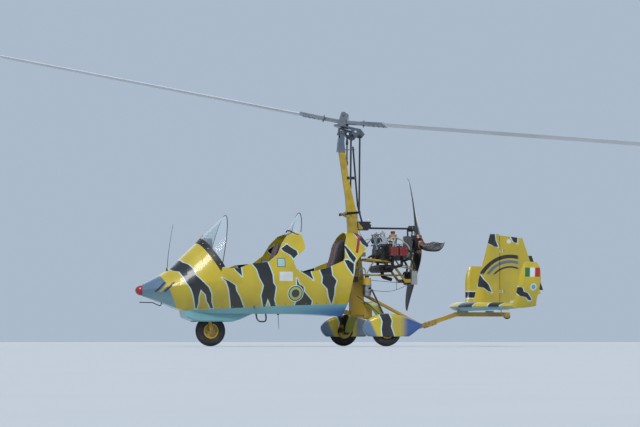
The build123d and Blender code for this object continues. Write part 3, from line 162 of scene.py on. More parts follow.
class Graph:
    """One material, with short calls for the nodes that are added to it."""

    def __init__(self, name, roughness=0.5, metallic=0.0, coat=0.0):
        self.material = bpy.data.materials.new(name)
        self.material.use_nodes = True
        self.tree = self.material.node_tree
        self.shader = self.tree.nodes["Principled BSDF"]
        self.shader.inputs["Roughness"].default_value = roughness
        self.shader.inputs["Metallic"].default_value = metallic
        self.shader.inputs["Coat Weight"].default_value = coat
        self.shader.inputs["Coat Roughness"].default_value = 0.08
        self.place = self.add("ShaderNodeTexCoord").outputs["Object"]
        place_x, self.y, self.z = self.add("ShaderNodeSeparateXYZ", self.place).outputs
        self.x = self.math("SUBTRACT", place_x, LIVERY_SHIFT)

    def add(self, kind, *values, **settings):
        return add_node(self.tree, kind, *values, **settings)

    def feed(self, socket, value):
        feed(self.tree, socket, value)

    def math(self, operation, *values):
        return self.add("ShaderNodeMath", *values, operation=operation).outputs[0]

    def step(self, value, start, end):
        """0 before start and 1 after end, turning smoothly between them."""
        node = self.add("ShaderNodeMapRange", value, start, end, 0.0, 1.0, interpolation_type="SMOOTHSTEP")
        return node.outputs[0]

    def mix(self, share, below, above):
        node = self.add("ShaderNodeMix", share, data_type="RGBA")
        self.feed(node.inputs[6], below)
        self.feed(node.inputs[7], above)
        return node.outputs[2]

    def noise(self, scale, detail=3.0, stretch=(1, 1, 1)):
        mapped = self.add("ShaderNodeMapping", self.place)
        mapped.inputs["Scale"].default_value = stretch
        node = self.add("ShaderNodeTexNoise")
        self.feed(node.inputs["Vector"], mapped.outputs[0])
        node.inputs["Scale"].default_value = scale
        node.inputs["Detail"].default_value = detail
        return node.outputs[0]

    def bump(self, height, distance, strength=1.0):
        node = self.add("ShaderNodeBump")
        node.inputs["Strength"].default_value = strength
        node.inputs["Distance"].default_value = distance
        self.feed(node.inputs["Height"], height)
        self.feed(self.shader.inputs["Normal"], node.outputs[0])

    def rough(self, height, low, high):
        node = self.add("ShaderNodeMapRange", height, 0.3, 0.7, low, high)
        self.feed(self.shader.inputs["Roughness"], node.outputs[0])

    def colour(self, value, grime=0.0, scale=3.0):
        """The base colour, with a slow variation and a little grime."""
        slow = self.step(self.noise(scale), 0.35, 0.75)
        shaded = self.mix(self.math("MULTIPLY", slow, grime), value, paint(0.3, 0.28, 0.24))
        self.feed(self.shader.inputs["Base Color"], shaded)

    def edge_curve(self, points, along, low, high):
        """The x of a stripe's edge at each height, from its (z, x) points."""
        share = self.add("ShaderNodeMapRange", along, low, high, 0.0, 1.0).outputs[0]
        node = self.add("ShaderNodeFloatCurve")
        self.feed(node.inputs["Value"], share)
        curve = node.mapping.curves[0]
        spots = [((z - low) / (high - low), x / CURVE_SPAN + 0.5) for z, x in points]
        spots = [(0.0, spots[0][1])] * (spots[0][0] > 0) + spots + [(1.0, spots[-1][1])] * (spots[-1][0] < 1)
        curve.points[0].location = spots[0]
        curve.points[1].location = spots[-1]
        for spot in spots[1:-1]:
            curve.points.new(*spot)
        for point in curve.points:
            point.handle_type = "VECTOR"
        node.mapping.update()
        return self.math("MULTIPLY_ADD", node.outputs[0], CURVE_SPAN, -CURVE_SPAN / 2)

    def minus(self, value, other):
        return self.math("SUBTRACT", value, other)

    def times(self, value, other):
        return self.math("MULTIPLY", value, other)

    def off(self, value, middle):
        """How far a value is from the middle one, either way."""
        return self.math("ABSOLUTE", self.minus(value, middle))

    def ahead_of(self, rise, start):
        """How far forward a place is of a slanted line of the side view."""
        return self.minus(self.x, self.math("MULTIPLY_ADD", self.z, rise, start))

    def distance(self, x, z):
        """Distance from a point of the side view."""
        dx = self.minus(self.x, x)
        dz = self.minus(self.z, z)
        return self.math("SQRT", self.math("ADD", self.times(dx, dx), self.times(dz, dz)))

    def stripe_depth(self, front, aft):
        """How far a place lies inside a stripe, below zero outside it."""
        low = min(front[0][0], aft[0][0])
        high = max(front[-1][0], aft[-1][0])
        ahead = self.minus(self.edge_curve(front, self.z, low, high), self.x)
        behind = self.minus(self.x, self.edge_curve(aft, self.z, low, high))
        across = self.math("MINIMUM", ahead, behind)
        upright = self.math("MINIMUM", self.minus(self.z, low), self.minus(high, self.z))
        return self.math("MINIMUM", across, upright)

    def bordered(self, base, depth, soft):
        """The base colour with a dark band where the depth is above zero, in a pale border."""
        pale = self.mix(self.step(depth, soft - BORDER, SOFT_EDGE - BORDER), base, PALE_CYAN)
        return self.mix(self.step(depth, soft, SOFT_EDGE), pale, NAVY)

    def stripes(self, base, table):
        """The base colour with the stripes of a table on it."""
        depth = None
        for kind, front, aft in table:
            inside = self.stripe_depth(mm(front), mm(aft))
            if kind == "cut":
                depth = self.math("MINIMUM", depth, self.times(inside, -1.0))
            else:
                depth = inside if depth is None else self.math("MAXIMUM", depth, inside)
        return self.bordered(base, depth, -SOFT_EDGE)

    def disc(self, base, shade, distance, radius):
        """The base colour with a disc of another shade on it."""
        return self.mix(self.step(distance, radius, radius - DISC_EDGE), base, shade)

    def panel(self, base, shade, x_low, x_high, z_low, z_high):
        """The base colour with an upright rectangle of another shade on it."""
        dx = self.minus(self.off(self.x, (x_low + x_high) / 2), (x_high - x_low) / 2)
        dz = self.minus(self.off(self.z, (z_low + z_high) / 2), (z_high - z_low) / 2)
        return self.mix(self.step(self.math("MAXIMUM", dx, dz), SOFT_EDGE, -SOFT_EDGE), base, shade)

    def outward(self):
        """1 on faces that look away from the middle of the aircraft, 0 on those that face it."""
        normal = self.add("ShaderNodeNewGeometry").outputs["Normal"]
        side = self.add("ShaderNodeSeparateXYZ", normal).outputs[1]
        return self.step(self.times(side, self.math("SIGN", self.y)), -0.05, 0.05)


def paint_finish(graph, value, grime=0.25):
    """Gloss paint over laminate or metal: slow colour variation, faint orange peel."""
    graph.colour(value, grime)
    graph.bump(graph.noise(90.0), 0.0006, 0.35)
    return graph.material


def body_livery():
    graph = Graph("body_livery", 0.34, coat=0.5)
    striped = graph.stripes(YELLOW, BODY_STRIPES)
    # The nose, forward of a slanted line, is slate above and paler below.
    nose = graph.mix(graph.step(graph.z, 0.64, 0.5), SLATE, paint(0.46, 0.64, 0.68))
    value = graph.mix(graph.step(graph.ahead_of(0.51, 1.762), -SOFT_EDGE, SOFT_EDGE), striped, nose)
    # Plain bars stand on the nose.
    window = graph.times(graph.step(graph.z, 0.59, 0.594), graph.step(graph.z, 0.7, 0.696))
    for start, shade in ((2.66, NAVY), (2.705, YELLOW), (2.75, NAVY)):
        bar = graph.step(graph.math("ABSOLUTE", graph.ahead_of(-0.9, start)), 0.014, 0.011)
        value = graph.mix(graph.times(bar, window), value, shade)
    # A plain roundel, a blank plate and a blank shield on the side.
    roundel = graph.distance(0.686, 0.58)
    for radius, shade in (
        (0.092, PALE_CYAN), (0.083, BLACK),
        (0.073, paint(0.7, 0.72, 0.42)), (0.046, paint(0.12, 0.22, 0.22)),
    ):
        value = graph.disc(value, shade, roundel, radius)
    value = graph.panel(value, WHITE, 0.724, 0.875, 0.716, 0.817)
    value = graph.panel(value, paint(0.25, 0.42, 0.4), 0.805, 0.898, 0.868, 0.968)
    value = graph.panel(value, paint(0.66, 0.8, 0.8), 0.813, 0.89, 0.876, 0.96)
    red = graph.step(graph.math("ABSOLUTE", graph.ahead_of(-0.293, 0.268)), 0.017, 0.014)
    value = graph.mix(graph.times(red, graph.step(graph.z, 1.03, 1.036)), value, RED)
    # Painted shade: below the widest line, where the sides turn under, the yellow turns darker and duller.
    low = graph.times(graph.step(graph.z, 0.75, 0.4), 0.18)
    return paint_finish(graph, graph.mix(low, value, paint(0.42, 0.4, 0.18)))


def belly_livery():
    graph = Graph("belly_livery", 0.36, coat=0.4)
    aft_and_low = graph.times(graph.step(graph.x, 0.95, -0.05), graph.step(graph.z, 0.485, 0.37))
    return paint_finish(graph, graph.mix(aft_and_low, TEAL, SEA_BLUE), 0.2)


def fin_livery():
    graph = Graph("fin_livery", 0.36, coat=0.4)
    value = graph.stripes(YELLOW, FIN_STRIPES)
    # Plain curved bands stand on the upper part.
    middle = graph.distance(-1.95, 0.62)
    window = graph.times(graph.step(graph.z, 0.8, 0.83), graph.step(graph.x, -2.06, -2.03))
    for radius, width, shade in ((0.4, 0.04, NAVY), (0.34, 0.03, SLATE), (0.28, 0.018, NAVY)):
        arc = graph.step(graph.off(middle, radius), width / 2 + SOFT_EDGE, width / 2)
        value = graph.mix(graph.times(arc, window), value, shade)
    value = graph.disc(value, WHITE, graph.distance(-1.93, 1.19), 0.027)
    return paint_finish(graph, value)


def outer_fin_livery():
    graph = Graph("outer_fin_livery", 0.36, coat=0.4)
    outside = graph.stripes(YELLOW, OUTER_FIN_STRIPES)
    for x_low, x_high, shade in (
        (-1.843, -1.783, GREEN_FLAG), (-1.905, -1.843, WHITE), (-1.967, -1.905, RED_FLAG),
    ):
        outside = graph.panel(outside, shade, x_low, x_high, 0.767, 0.868)
    middle = graph.distance(-1.897, 0.656)
    outside = graph.disc(outside, PALE_CYAN, middle, 0.041)
    outside = graph.disc(outside, paint(0.45, 0.62, 0.72), middle, 0.026)
    inside = graph.bordered(YELLOW, graph.minus(0.035, graph.off(graph.z, 0.595)), 0.0)
    return paint_finish(graph, graph.mix(graph.outward(), inside, outside))


def stabiliser_livery():
    graph = Graph("stabiliser_livery", 0.36, coat=0.4)
    wave = graph.math("MULTIPLY_ADD", graph.noise(9.0), 0.08, -0.04)
    place = graph.math("ADD", graph.math("ABSOLUTE", graph.y), wave)
    inner = graph.minus(0.11, graph.off(place, 0.25))
    outer = graph.minus(0.065, graph.off(place, 0.585))
    value = graph.bordered(YELLOW, graph.math("MAXIMUM", inner, outer), 0.0)
    value = graph.mix(graph.step(graph.z, 0.446, 0.425), value, TEAL)
    return paint_finish(graph, value)


def pant_livery():
    graph = Graph("pant_livery", 0.3, coat=0.5)
    outside = graph.stripes(YELLOW, PANT_STRIPES)
    outside = graph.mix(graph.step(graph.ahead_of(0.45, -0.131), -0.02, 0.02), outside, SLATE)
    outside = graph.mix(graph.step(graph.x, -0.335, -0.455), outside, SEA_BLUE)
    grey = graph.mix(graph.step(graph.x, -0.5, -0.58), paint(0.5, 0.56, 0.6), SEA_BLUE)
    inside = graph.mix(graph.step(graph.x, -0.33, -0.36), outside, grey)
    return paint_finish(graph, graph.mix(graph.outward(), inside, outside))


def gloss(name, value, roughness=0.35, coat=0.4, grime=0.3):
    return paint_finish(Graph(name, roughness, coat=coat), value, grime)


def metal(name, value, roughness=0.3, scale=60.0, stretch=(1, 1, 1), grime=0.3):
    """Bare metal, with streaks of the machining or a cast skin."""
    graph = Graph(name, roughness, metallic=1.0)
    graph.colour(value, grime, 8.0)
    streaks = graph.noise(scale, 4.0, stretch)
    graph.rough(streaks, roughness * 0.75, min(1.0, roughness * 1.4))
    graph.bump(streaks, 0.0005, 0.4)
    return graph.material


def rubber(name, value, roughness=0.75):
    graph = Graph(name, roughness)
    graph.colour(value, 0.35, 14.0)
    fine = graph.noise(260.0, 5.0)
    graph.rough(fine, roughness * 0.85, min(1.0, roughness * 1.1))
    graph.bump(fine, 0.0007, 0.5)
    return graph.material


def acrylic(name):
    """Clear sheet: nearly unseen face on, whiter where it curves away."""
    graph = Graph(name, 0.04)
    facing = graph.add("ShaderNodeLayerWeight", 0.35).outputs["Facing"]
    cover = graph.add("ShaderNodeMapRange", facing, 0.0, 1.0, 0.06, 0.6).outputs[0]
    graph.feed(graph.shader.inputs["Alpha"], cover)
    haze = graph.mix(graph.noise(4.0), paint(0.7, 0.8, 0.86), paint(0.8, 0.87, 0.91))
    graph.feed(graph.shader.inputs["Base Color"], haze)
    return graph.material


def composite(name, value, roughness=0.35):
    """Woven composite under clear resin: a fine twill shows in the gloss."""
    graph = Graph(name, roughness, coat=0.7)
    one_way = graph.math("SINE", graph.times(graph.math("ADD", graph.y, graph.z), 1600.0))
    other_way = graph.math("SINE", graph.times(graph.minus(graph.y, graph.z), 1600.0))
    weave = graph.times(one_way, other_way)
    graph.colour(graph.mix(graph.step(weave, -0.3, 0.3), value, paint(0.13, 0.14, 0.15)), 0.1)
    graph.bump(weave, 0.0003, 0.3)
    return graph.material


def banded(name, below, above, axis, border, metal_below=0.0, metal_above=0.0, roughness=0.4):
    """Two finishes of one piece, split at a height or at a distance from the middle."""
    graph = Graph(name, roughness, coat=0.2)
    where = graph.math("ABSOLUTE", graph.y) if axis == "side" else graph.z
    share = graph.step(where, border - 0.0005, border + 0.0005)
    graph.colour(graph.mix(share, below, above), 0.35, 10.0)
    metal_share = graph.add("ShaderNodeMapRange", share, 0.0, 1.0, metal_below, metal_above).outputs[0]
    graph.feed(graph.shader.inputs["Metallic"], metal_share)
    graph.bump(graph.noise(120.0, 4.0), 0.0006, 0.5)
    return graph.material


def radiator_finish():
    """Fine fins across the core, and plain aluminium end tanks."""
    graph = Graph("radiator_finish", 0.45, metallic=0.6)
    ends = graph.step(graph.math("ABSOLUTE", graph.y), 0.1145, 0.1155)
    fins = graph.math("SINE", graph.math("MULTIPLY", graph.z, 1300.0))
    core = graph.mix(graph.step(fins, -0.2, 0.2), paint(0.06, 0.06, 0.06), paint(0.3, 0.31, 0.32))
    graph.colour(graph.mix(ends, core, paint(0.66, 0.67, 0.66)), 0.2, 12.0)
    graph.bump(fins, 0.001, 0.6)
    return graph.material


def blade_finish():
    """Bright metal with faint streaks along the blade."""
    graph = Graph("blade_finish", 0.38, metallic=0.55)
    streaks = graph.noise(18.0, 4.0, (0.4, 6.0, 6.0))
    graph.colour(graph.mix(streaks, paint(0.74, 0.76, 0.78), paint(0.86, 0.87, 0.88)), 0.1)
    graph.rough(streaks, 0.28, 0.48)
    return graph.material


def cloth(name, value, dark):
    """Woven upholstery with a soft sheen."""
    graph = Graph(name, 0.85)
    graph.shader.inputs["Sheen Weight"].default_value = 0.25
    ways = [graph.math("SINE", graph.math("MULTIPLY", axis, 2600.0)) for axis in (graph.x, graph.y, graph.z)]
    weave = graph.math("MULTIPLY", graph.math("ADD", ways[0], ways[2]), ways[1])
    graph.colour(graph.mix(graph.step(weave, -0.6, 0.6), value, dark), 0.25, 9.0)
    graph.bump(weave, 0.0004, 0.5)
    return graph.material


MATERIALS = {
    "body": body_livery(),
    "belly": belly_livery(),
    "fin": fin_livery(),
    "outer_fin": outer_fin_livery(),
    "stabiliser": stabiliser_livery(),
    "pant": pant_livery(),
    "red_paint": gloss("red_paint", RED),
    "frame_paint": gloss("frame_paint", paint(0.74, 0.6, 0.17), 0.42, 0.25, 0.5),
    "mast_paint": banded(
        "mast_paint", paint(0.76, 0.64, 0.17), paint(0.42, 0.48, 0.54), "up", 2.17, 0.0, 0.5
    ),
    "rim_paint": gloss("rim_paint", paint(0.8, 0.64, 0.16), 0.4, 0.3, 0.5),
    "bow_laminate": gloss("bow_laminate", paint(0.62, 0.62, 0.22), 0.4, 0.3, 0.4),
    "black_trim": rubber("black_trim", BLACK, 0.5),
    "black_paint": gloss("black_paint", paint(0.09, 0.09, 0.1), 0.4, 0.3, 0.3),
    "panel_black": rubber("panel_black", paint(0.1, 0.11, 0.13), 0.6),
    "rubber": rubber("tyre_rubber", paint(0.13, 0.14, 0.16), 0.8),
    "hose": rubber("hose_rubber", paint(0.08, 0.08, 0.09), 0.6),
    "acrylic": acrylic("acrylic"),
    "cast": metal("cast_alloy", paint(0.42, 0.42, 0.42), 0.5, 140.0),
    "cylinder": banded("cylinder_cast", paint(0.34, 0.34, 0.34), paint(0.5, 0.08, 0.1), "side", 0.256, 0.9),
    "oil_tank": banded("oil_tank_metal", paint(0.66, 0.67, 0.68), paint(0.8, 0.66, 0.2), "up", 0.687, 0.9),
    "exhaust": metal("exhaust_steel", paint(0.2, 0.19, 0.19), 0.5, 40.0, grime=0.5),
    "light_metal": metal("light_alloy", paint(0.42, 0.46, 0.5), 0.45, 70.0),
    "silver": metal("silver_metal", paint(0.78, 0.79, 0.8), 0.28, 50.0),
    "steel": metal("machined_steel", paint(0.52, 0.55, 0.58), 0.36, 90.0, (1, 1, 8)),
    "dark_metal": metal("dark_metal", paint(0.2, 0.2, 0.22), 0.42, 90.0),
    "tan_plastic": gloss("tan_plastic", paint(0.72, 0.62, 0.46), 0.5, 0.1, 0.35),
    "radiator": radiator_finish(),
    "blade": blade_finish(),
    "prop": composite("prop_composite", paint(0.06, 0.065, 0.07)),
    "copper": metal("copper_clamp", paint(0.66, 0.5, 0.42), 0.45, 70.0),
    "cloth": cloth("seat_cloth", paint(0.13, 0.14, 0.17), paint(0.09, 0.1, 0.12)),
    "piping": cloth("seat_piping", paint(0.72, 0.58, 0.16), paint(0.56, 0.45, 0.12)),
    "webbing": cloth("belt_webbing", paint(0.45, 0.08, 0.09), paint(0.36, 0.06, 0.07)),
    "red_cloth": cloth("red_yarn", paint(0.72, 0.1, 0.12), paint(0.55, 0.07, 0.08)),
    "white_plastic": gloss("white_plastic", paint(0.86, 0.87, 0.86), 0.3, 0.4, 0.15),
    "dial": gloss("dial_face", paint(0.05, 0.05, 0.06), 0.25, 0.5, 0.1),
    "cable": rubber("cable_sheath", paint(0.22, 0.23, 0.25), 0.5),
    "pale_hose": rubber("pale_hose", paint(0.72, 0.71, 0.67), 0.55),
    "pale_alloy": metal("pale_alloy", paint(0.6, 0.72, 0.76), 0.35, 60.0),
}

NODE_FINISH = {
    "fuselage_shell": "body", "belly_pan": "belly", "nose_cap": "red_paint", "pitot_probe": "dark_metal",
    "front_windscreen": "acrylic", "rear_windscreen": "acrylic", "front_screen_trim": "black_trim",
    "front_seat": "cloth", "rear_seat": "cloth", "instrument_panel": "panel_black",
    "control_sticks": "black_paint", "keel_frame": "frame_paint", "mast": "mast_paint",
    "engine_mount": "frame_paint", "engine_case": "cast", "cylinders": "cylinder",
    "exhaust_muffler": "exhaust", "intake": "silver", "coolant_tank": "tan_plastic",
    "oil_tank": "oil_tank", "radiator": "radiator", "prerotator_shaft": "black_paint",
    "gear_bow": "bow_laminate", "gear_struts": "black_paint", "wheel_pant_left": "pant",
    "wheel_pant_right": "pant", "axles": "dark_metal", "stabiliser": "stabiliser",
    "outer_fin_left": "outer_fin", "outer_fin_right": "outer_fin", "central_fin": "fin", "rudder": "fin",
    "gimbal_block": "steel", "torque_plate": "light_metal", "rotor_drive": "steel", "hub_bar": "steel",
    "rotor_blade_fore": "blade", "rotor_blade_aft": "blade", "prop_hub": "dark_metal",
    "prop_blades": "prop", "nose_fork": "frame_paint", "tail_wheel": "rubber",
    "push_rods": "black_paint", "bellcrank": "dark_metal",
    "tyre_nose": "rubber", "tyre_left": "rubber", "tyre_right": "rubber",
    "rim_nose": "rim_paint", "rim_left": "rim_paint", "rim_right": "rim_paint",
}
for node_name, finish in NODE_FINISH.items():
    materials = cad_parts[node_name].data.materials
    materials.clear()
    materials.append(MATERIALS[finish])


def smooth_line(points, closed=False):
    """More points along a smooth line through the given ones."""
    count = len(points)
    if count < 3:
        return points
    steps = 6
    line = []
    for i in range(count if closed else count - 1):
        if closed:
            a, b, c, d = (points[(i + k) % count] for k in (-1, 0, 1, 2))
        else:
            a, b, c, d = points[max(i - 1, 0)], points[i], points[i + 1], points[min(i + 2, count - 1)]
        bend = a * 2 - b * 5 + c * 4 - d
        twist = b * 3 - a - c * 3 + d
        for step in range(steps):
            t = step / steps
            line.append((b * 2 + (c - a) * t + bend * t ** 2 + twist * t ** 3) / 2)
    return line if closed else line + [points[-1]]


def corners(middle, side, lift):
    """The four corners of a flat bar's section."""
    return [middle - side - lift, middle + side - lift, middle + side + lift, middle - side + lift]


class Piece:
    """A mesh under construction, set out in the drawing's millimetres, with a finish for each face."""

    def __init__(self, name, finish):
        self.name = name
        self.build = bmesh.new()
        self.finishes = [finish]
        self.slot_index = 0

    def use(self, finish):
        """The finish of the faces that follow."""
        if finish not in self.finishes:
            self.finishes.append(finish)
        self.slot_index = self.finishes.index(finish)

    def skin(self, rings, closed=False):
        """Faces between rings of points in metres, with both ends filled unless the last meets the first."""
        rows = [[self.build.verts.new(point) for point in ring] for ring in rings]
        pairs = list(zip(rows, rows[1:]))
        if closed:
            pairs.append((rows[-1], rows[0]))
        faces = []
        for low, high in pairs:
            for i in range(len(low)):
                j = (i + 1) % len(low)
                faces.append(self.build.faces.new((low[i], low[j], high[j], high[i])))
        if not closed:
            faces += [self.build.faces.new(rows[0][::-1]), self.build.faces.new(rows[-1])]
        for face in faces:
            face.material_index = self.slot_index

    def tube(self, points, radius, sides=10, closed=False, end_radius=None):
        """A round bar along a smooth line through the points, which may taper."""
        path = smooth_line([Vector(mm(point)) for point in points], closed)
        if end_radius is None:
            end_radius = radius
        rings = []
        side = None
        for index, point in enumerate(path):
            before = path[index - 1] if index or closed else point
            after = path[(index + 1) % len(path)] if index + 1 < len(path) or closed else point
            way = (after - before).normalized()
            if side is None:
                side = way.orthogonal().normalized()
            side = (side - way * side.dot(way)).normalized()
            other = way.cross(side)
            size = mm(radius + (end_radius - radius) * index / (len(path) - 1))
            rings.append([point + (side * c + other * s) * size for c, s in turns(sides)])
        self.skin(rings, closed)

    def lathe(self, profile, origin, axis, sides=24):
        """A body turned about an axis, from its (radius, height) points."""
        turn = Vector(axis).to_track_quat("Z", "Y")
        foot = Vector(mm(origin))
        rings = [[foot + turn @ Vector((r * c, r * s, h)) for c, s in turns(sides)] for r, h in mm(profile)]
        self.skin(rings)

    def bolt(self, origin, axis, radius):
        """A washer and a hexagon head."""
        self.lathe(((radius * 1.5, 0), (radius * 1.5, radius * 0.25)), origin, axis, 14)
        head = ((radius, radius * 0.2), (radius, radius * 0.95), (radius * 0.8, radius * 1.1))
        self.lathe(head, origin, axis, 6)

    def side_bolts(self, radius, *spots):
        """Bolts at spots of the port side and their mirror images, facing outward."""
        for side in SIDES:
            for x, y, z in spots:
                self.bolt((x, side * y, z), (0, side, 0), radius)

    def rounded(self, low, high, radius):
        """A block between two corners with rounded edges."""
        low, high = Vector(mm(low)), Vector(mm(high))
        block = bmesh.new()
        bmesh.ops.create_cube(block, size=1.0)
        for vert in block.verts:
            vert.co = (low + high) / 2 + Vector(a * b for a, b in zip(vert.co, high - low))
        self.absorb(block, radius, 3)

    def plate(self, outline, y_low, y_high, radius):
        """A plate whose (x, z) outline is seen from the side, with eased edges."""
        slab = bmesh.new()
        rows = [[slab.verts.new(mm((x, y, z))) for x, z in outline] for y in (y_low, y_high)]
        slab.faces.new(rows[0])
        slab.faces.new(rows[1][::-1])
        for i in range(len(outline)):
            j = (i + 1) % len(outline)
            slab.faces.new((rows[0][j], rows[0][i], rows[1][i], rows[1][j]))
        self.absorb(slab, radius, 2)

    def absorb(self, body, radius, segments):
        """Rounds the edges of a separate body and takes it in."""
        bmesh.ops.bevel(
            body, geom=body.edges[:], offset=mm(radius), segments=segments, profile=0.5, affect="EDGES"
        )
        for face in body.faces:
            face.material_index = self.slot_index
        mesh = bpy.data.meshes.new("part")
        body.to_mesh(mesh)
        body.free()
        self.build.from_mesh(mesh)
        bpy.data.meshes.remove(mesh)

    def belt(self, points, outward, across):
        """A belt along a line of points, its flat side facing outward at each of them."""
        side = Vector(across) * (BELT_WIDTH / 2)
        lifts = [out * (BELT_THICKNESS / 2) for out in outward]
        self.skin(mm([corners(point, side, lift) for point, lift in zip(points, lifts)]))

    def done(self, body="airframe", replaces=(), soft_angle=38.0, shift=DRAWING_SHIFT):
        """Makes the object, moved from the drawing to where it stands, and fixes it to its body."""
        bmesh.ops.recalc_face_normals(self.build, faces=self.build.faces)
        mesh = bpy.data.meshes.new(self.name)
        self.build.to_mesh(mesh)
        self.build.free()
        mesh.transform(shift)
        mesh.shade_smooth()
        mesh.set_sharp_from_angle(angle=math.radians(soft_angle))
        for finish in self.finishes:
            mesh.materials.append(MATERIALS[finish])
        obj = bpy.data.objects.new(self.name, mesh)
        bpy.context.scene.collection.objects.link(obj)
        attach(obj, body)
        if replaces:
            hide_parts(*replaces)
        return obj


# Each wheel: its name, its body, and its axle's x and y
WHEELS = (
    ("nose", "nose_wheel", 1543, 0), ("left", "left_wheel", -232, 800), ("right", "right_wheel", -232, -800),
)
AXLE_Z = 168
# Half of the tyre's section as (radius, y) from the bead to the middle groove
TYRE_SECTION = (
    (84.5, 33), (90, 39), (104, 48.5), (122, 52), (138, 48.5), (148, 42), (156.5, 33), (159, 29.5),
    (154.5, 28.5), (154.5, 25.5), (162.5, 24.5), (165, 14), (160, 13), (160, 10), (166.8, 9), (168, 0),
)
TREAD_SLICES = 120
SIPE_DEPTH = 1.6


def tyres():
    """Treaded tyres, and the bolts and valve of each rim."""
    section = TYRE_SECTION + tuple((r, -v) for r, v in TYRE_SECTION[-2::-1])
    for name, body, x, y in WHEELS:
        tyre = Piece(f"tyre_treaded_{name}", "rubber")
        rings = []
        for index, (cosine, sine) in enumerate(turns(TREAD_SLICES)):
            ring = []
            for r, v in section:
                # Every third slice is a sipe across the shoulders.
                if index % 3 == 0 and 145 < r < 166 and abs(v) > 12:
                    r -= SIPE_DEPTH
                ring.append((x + r * cosine, y + v, AXLE_Z + r * sine))
            rings.append(mm(ring))
        tyre.skin(rings, closed=True)
        tyre.done(body, [f"tyre_{name}"])
        bolts = Piece(f"rim_bolts_{name}", "steel")
        for side in SIDES:
            for cosine, sine in turns(6, 0.5):
                bolts.bolt((x + 46 * cosine, y + side * 9.5, AXLE_Z + 46 * sine), (0, side, 0), 5)
        bolts.use("black_trim")
        bolts.tube(((x, y + 20, AXLE_Z + 78), (x, y + 38, AXLE_Z + 62)), 3.5)
        bolts.done(body)


def camera_and_light():
    """The camera at the photograph's angle, a soft key from above, two fills and the sky."""
    azimuth, elevation = math.radians(163.5), math.radians(-2.8)
    distance, sensor_width, view_width = 29.0, 36.0, 7.143
    level = math.cos(elevation)
    back = Vector((math.sin(azimuth) * level, -math.cos(azimuth) * level, math.sin(elevation)))
    camera = bpy.data.objects.new("camera", bpy.data.cameras.new("camera"))
    camera.location = Vector((0.317, 0, 1.479)) + back * distance
    camera.rotation_euler = (-back).to_track_quat("-Z", "Y").to_euler()
    camera.data.sensor_width = sensor_width
    camera.data.lens = sensor_width * distance / view_width
    bpy.context.scene.collection.objects.link(camera)
    bpy.context.scene.camera = camera

    for name, strength, angle, towards in (
        ("key", 1.9, 25.0, (-0.35, -0.6, -0.75)), ("fill", 0.5, 60.0, (0.5, -0.6, 0.35)),
        ("back_fill", 0.5, 60.0, (0.3, 0.8, -0.4)),
    ):
        light = bpy.data.objects.new(name, bpy.data.lights.new(name, "SUN"))
        light.data.energy = strength
        light.data.angle = math.radians(angle)
        light.rotation_euler = Vector(towards).to_track_quat("-Z", "Y").to_euler()
        bpy.context.scene.collection.objects.link(light)

    world = bpy.data.worlds.new("world")
    bpy.context.scene.world = world
    world.use_nodes = True
    tree = world.node_tree
    background = tree.nodes["Background"].inputs
    background["Color"].default_value = (0.68, 0.82, 1.0, 1)
    # The sky is brighter to the eye, and in what shines, than in the light it gives.
    paths = add_node(tree, "ShaderNodeLightPath").outputs
    seen = paths["Is Camera Ray"]
    for name in ("Is Glossy Ray", "Is Transmission Ray"):
        seen = add_node(tree, "ShaderNodeMath", seen, paths[name], operation="MAXIMUM").outputs[0]
    strength = add_node(tree, "ShaderNodeMapRange", seen, 0.0, 1.0, 0.42, 0.6).outputs[0]
    feed(tree, background["Strength"], strength)


def floor():
    mesh = bpy.data.meshes.new("floor")
    build = bmesh.new()
    corners = [build.verts.new((x, y, -0.001)) for x, y in ((-80, -80), (80, -80), (80, 80), (-80, 80))]
    build.faces.new(corners)
    build.to_mesh(mesh)
    build.free()
    ground = bpy.data.objects.new("floor", mesh)
    bpy.context.scene.collection.objects.link(ground)
    graph = Graph("floor_finish", 0.8)
    graph.colour(paint(0.82, 0.84, 0.86), 0.02)
    mesh.materials.append(graph.material)


def surface_of(obj):
    """A search tree of an object's faces."""
    mesh = obj.data
    return BVHTree.FromPolygons([v.co[:] for v in mesh.vertices], [p.vertices[:] for p in mesh.polygons])


def met(tree, start, way):
    """Where a ray through the drawing meets a surface, as a place in the drawing and a normal."""
    hit, normal, _, _ = tree.ray_cast(DRAWING_SHIFT @ Vector(mm(start)), Vector(way))
    return (DRAWING_SHIFT.inverted() @ hit * 1000 if hit else None), normal


def arch_line(start, x, x_lift, half_width, z, z_lift, count=30):
    """Points over a windscreen's arch from one side to the other."""
    angles = [start + (math.pi - 2 * start) * index / count for index in range(count + 1)]
    return [(x + x_lift * math.sin(t), half_width * math.cos(t), z + z_lift * math.sin(t)) for t in angles]


# A low button head as (radius, height)
BUTTON = ((6.2, -1), (6.2, 1.2), (4.5, 2.8), (1.5, 3.4))
# The joint of shell and belly as (x, z) points going forward
BELLY_JOINT = ((-20, 466), (800, 445), (1868, 391))


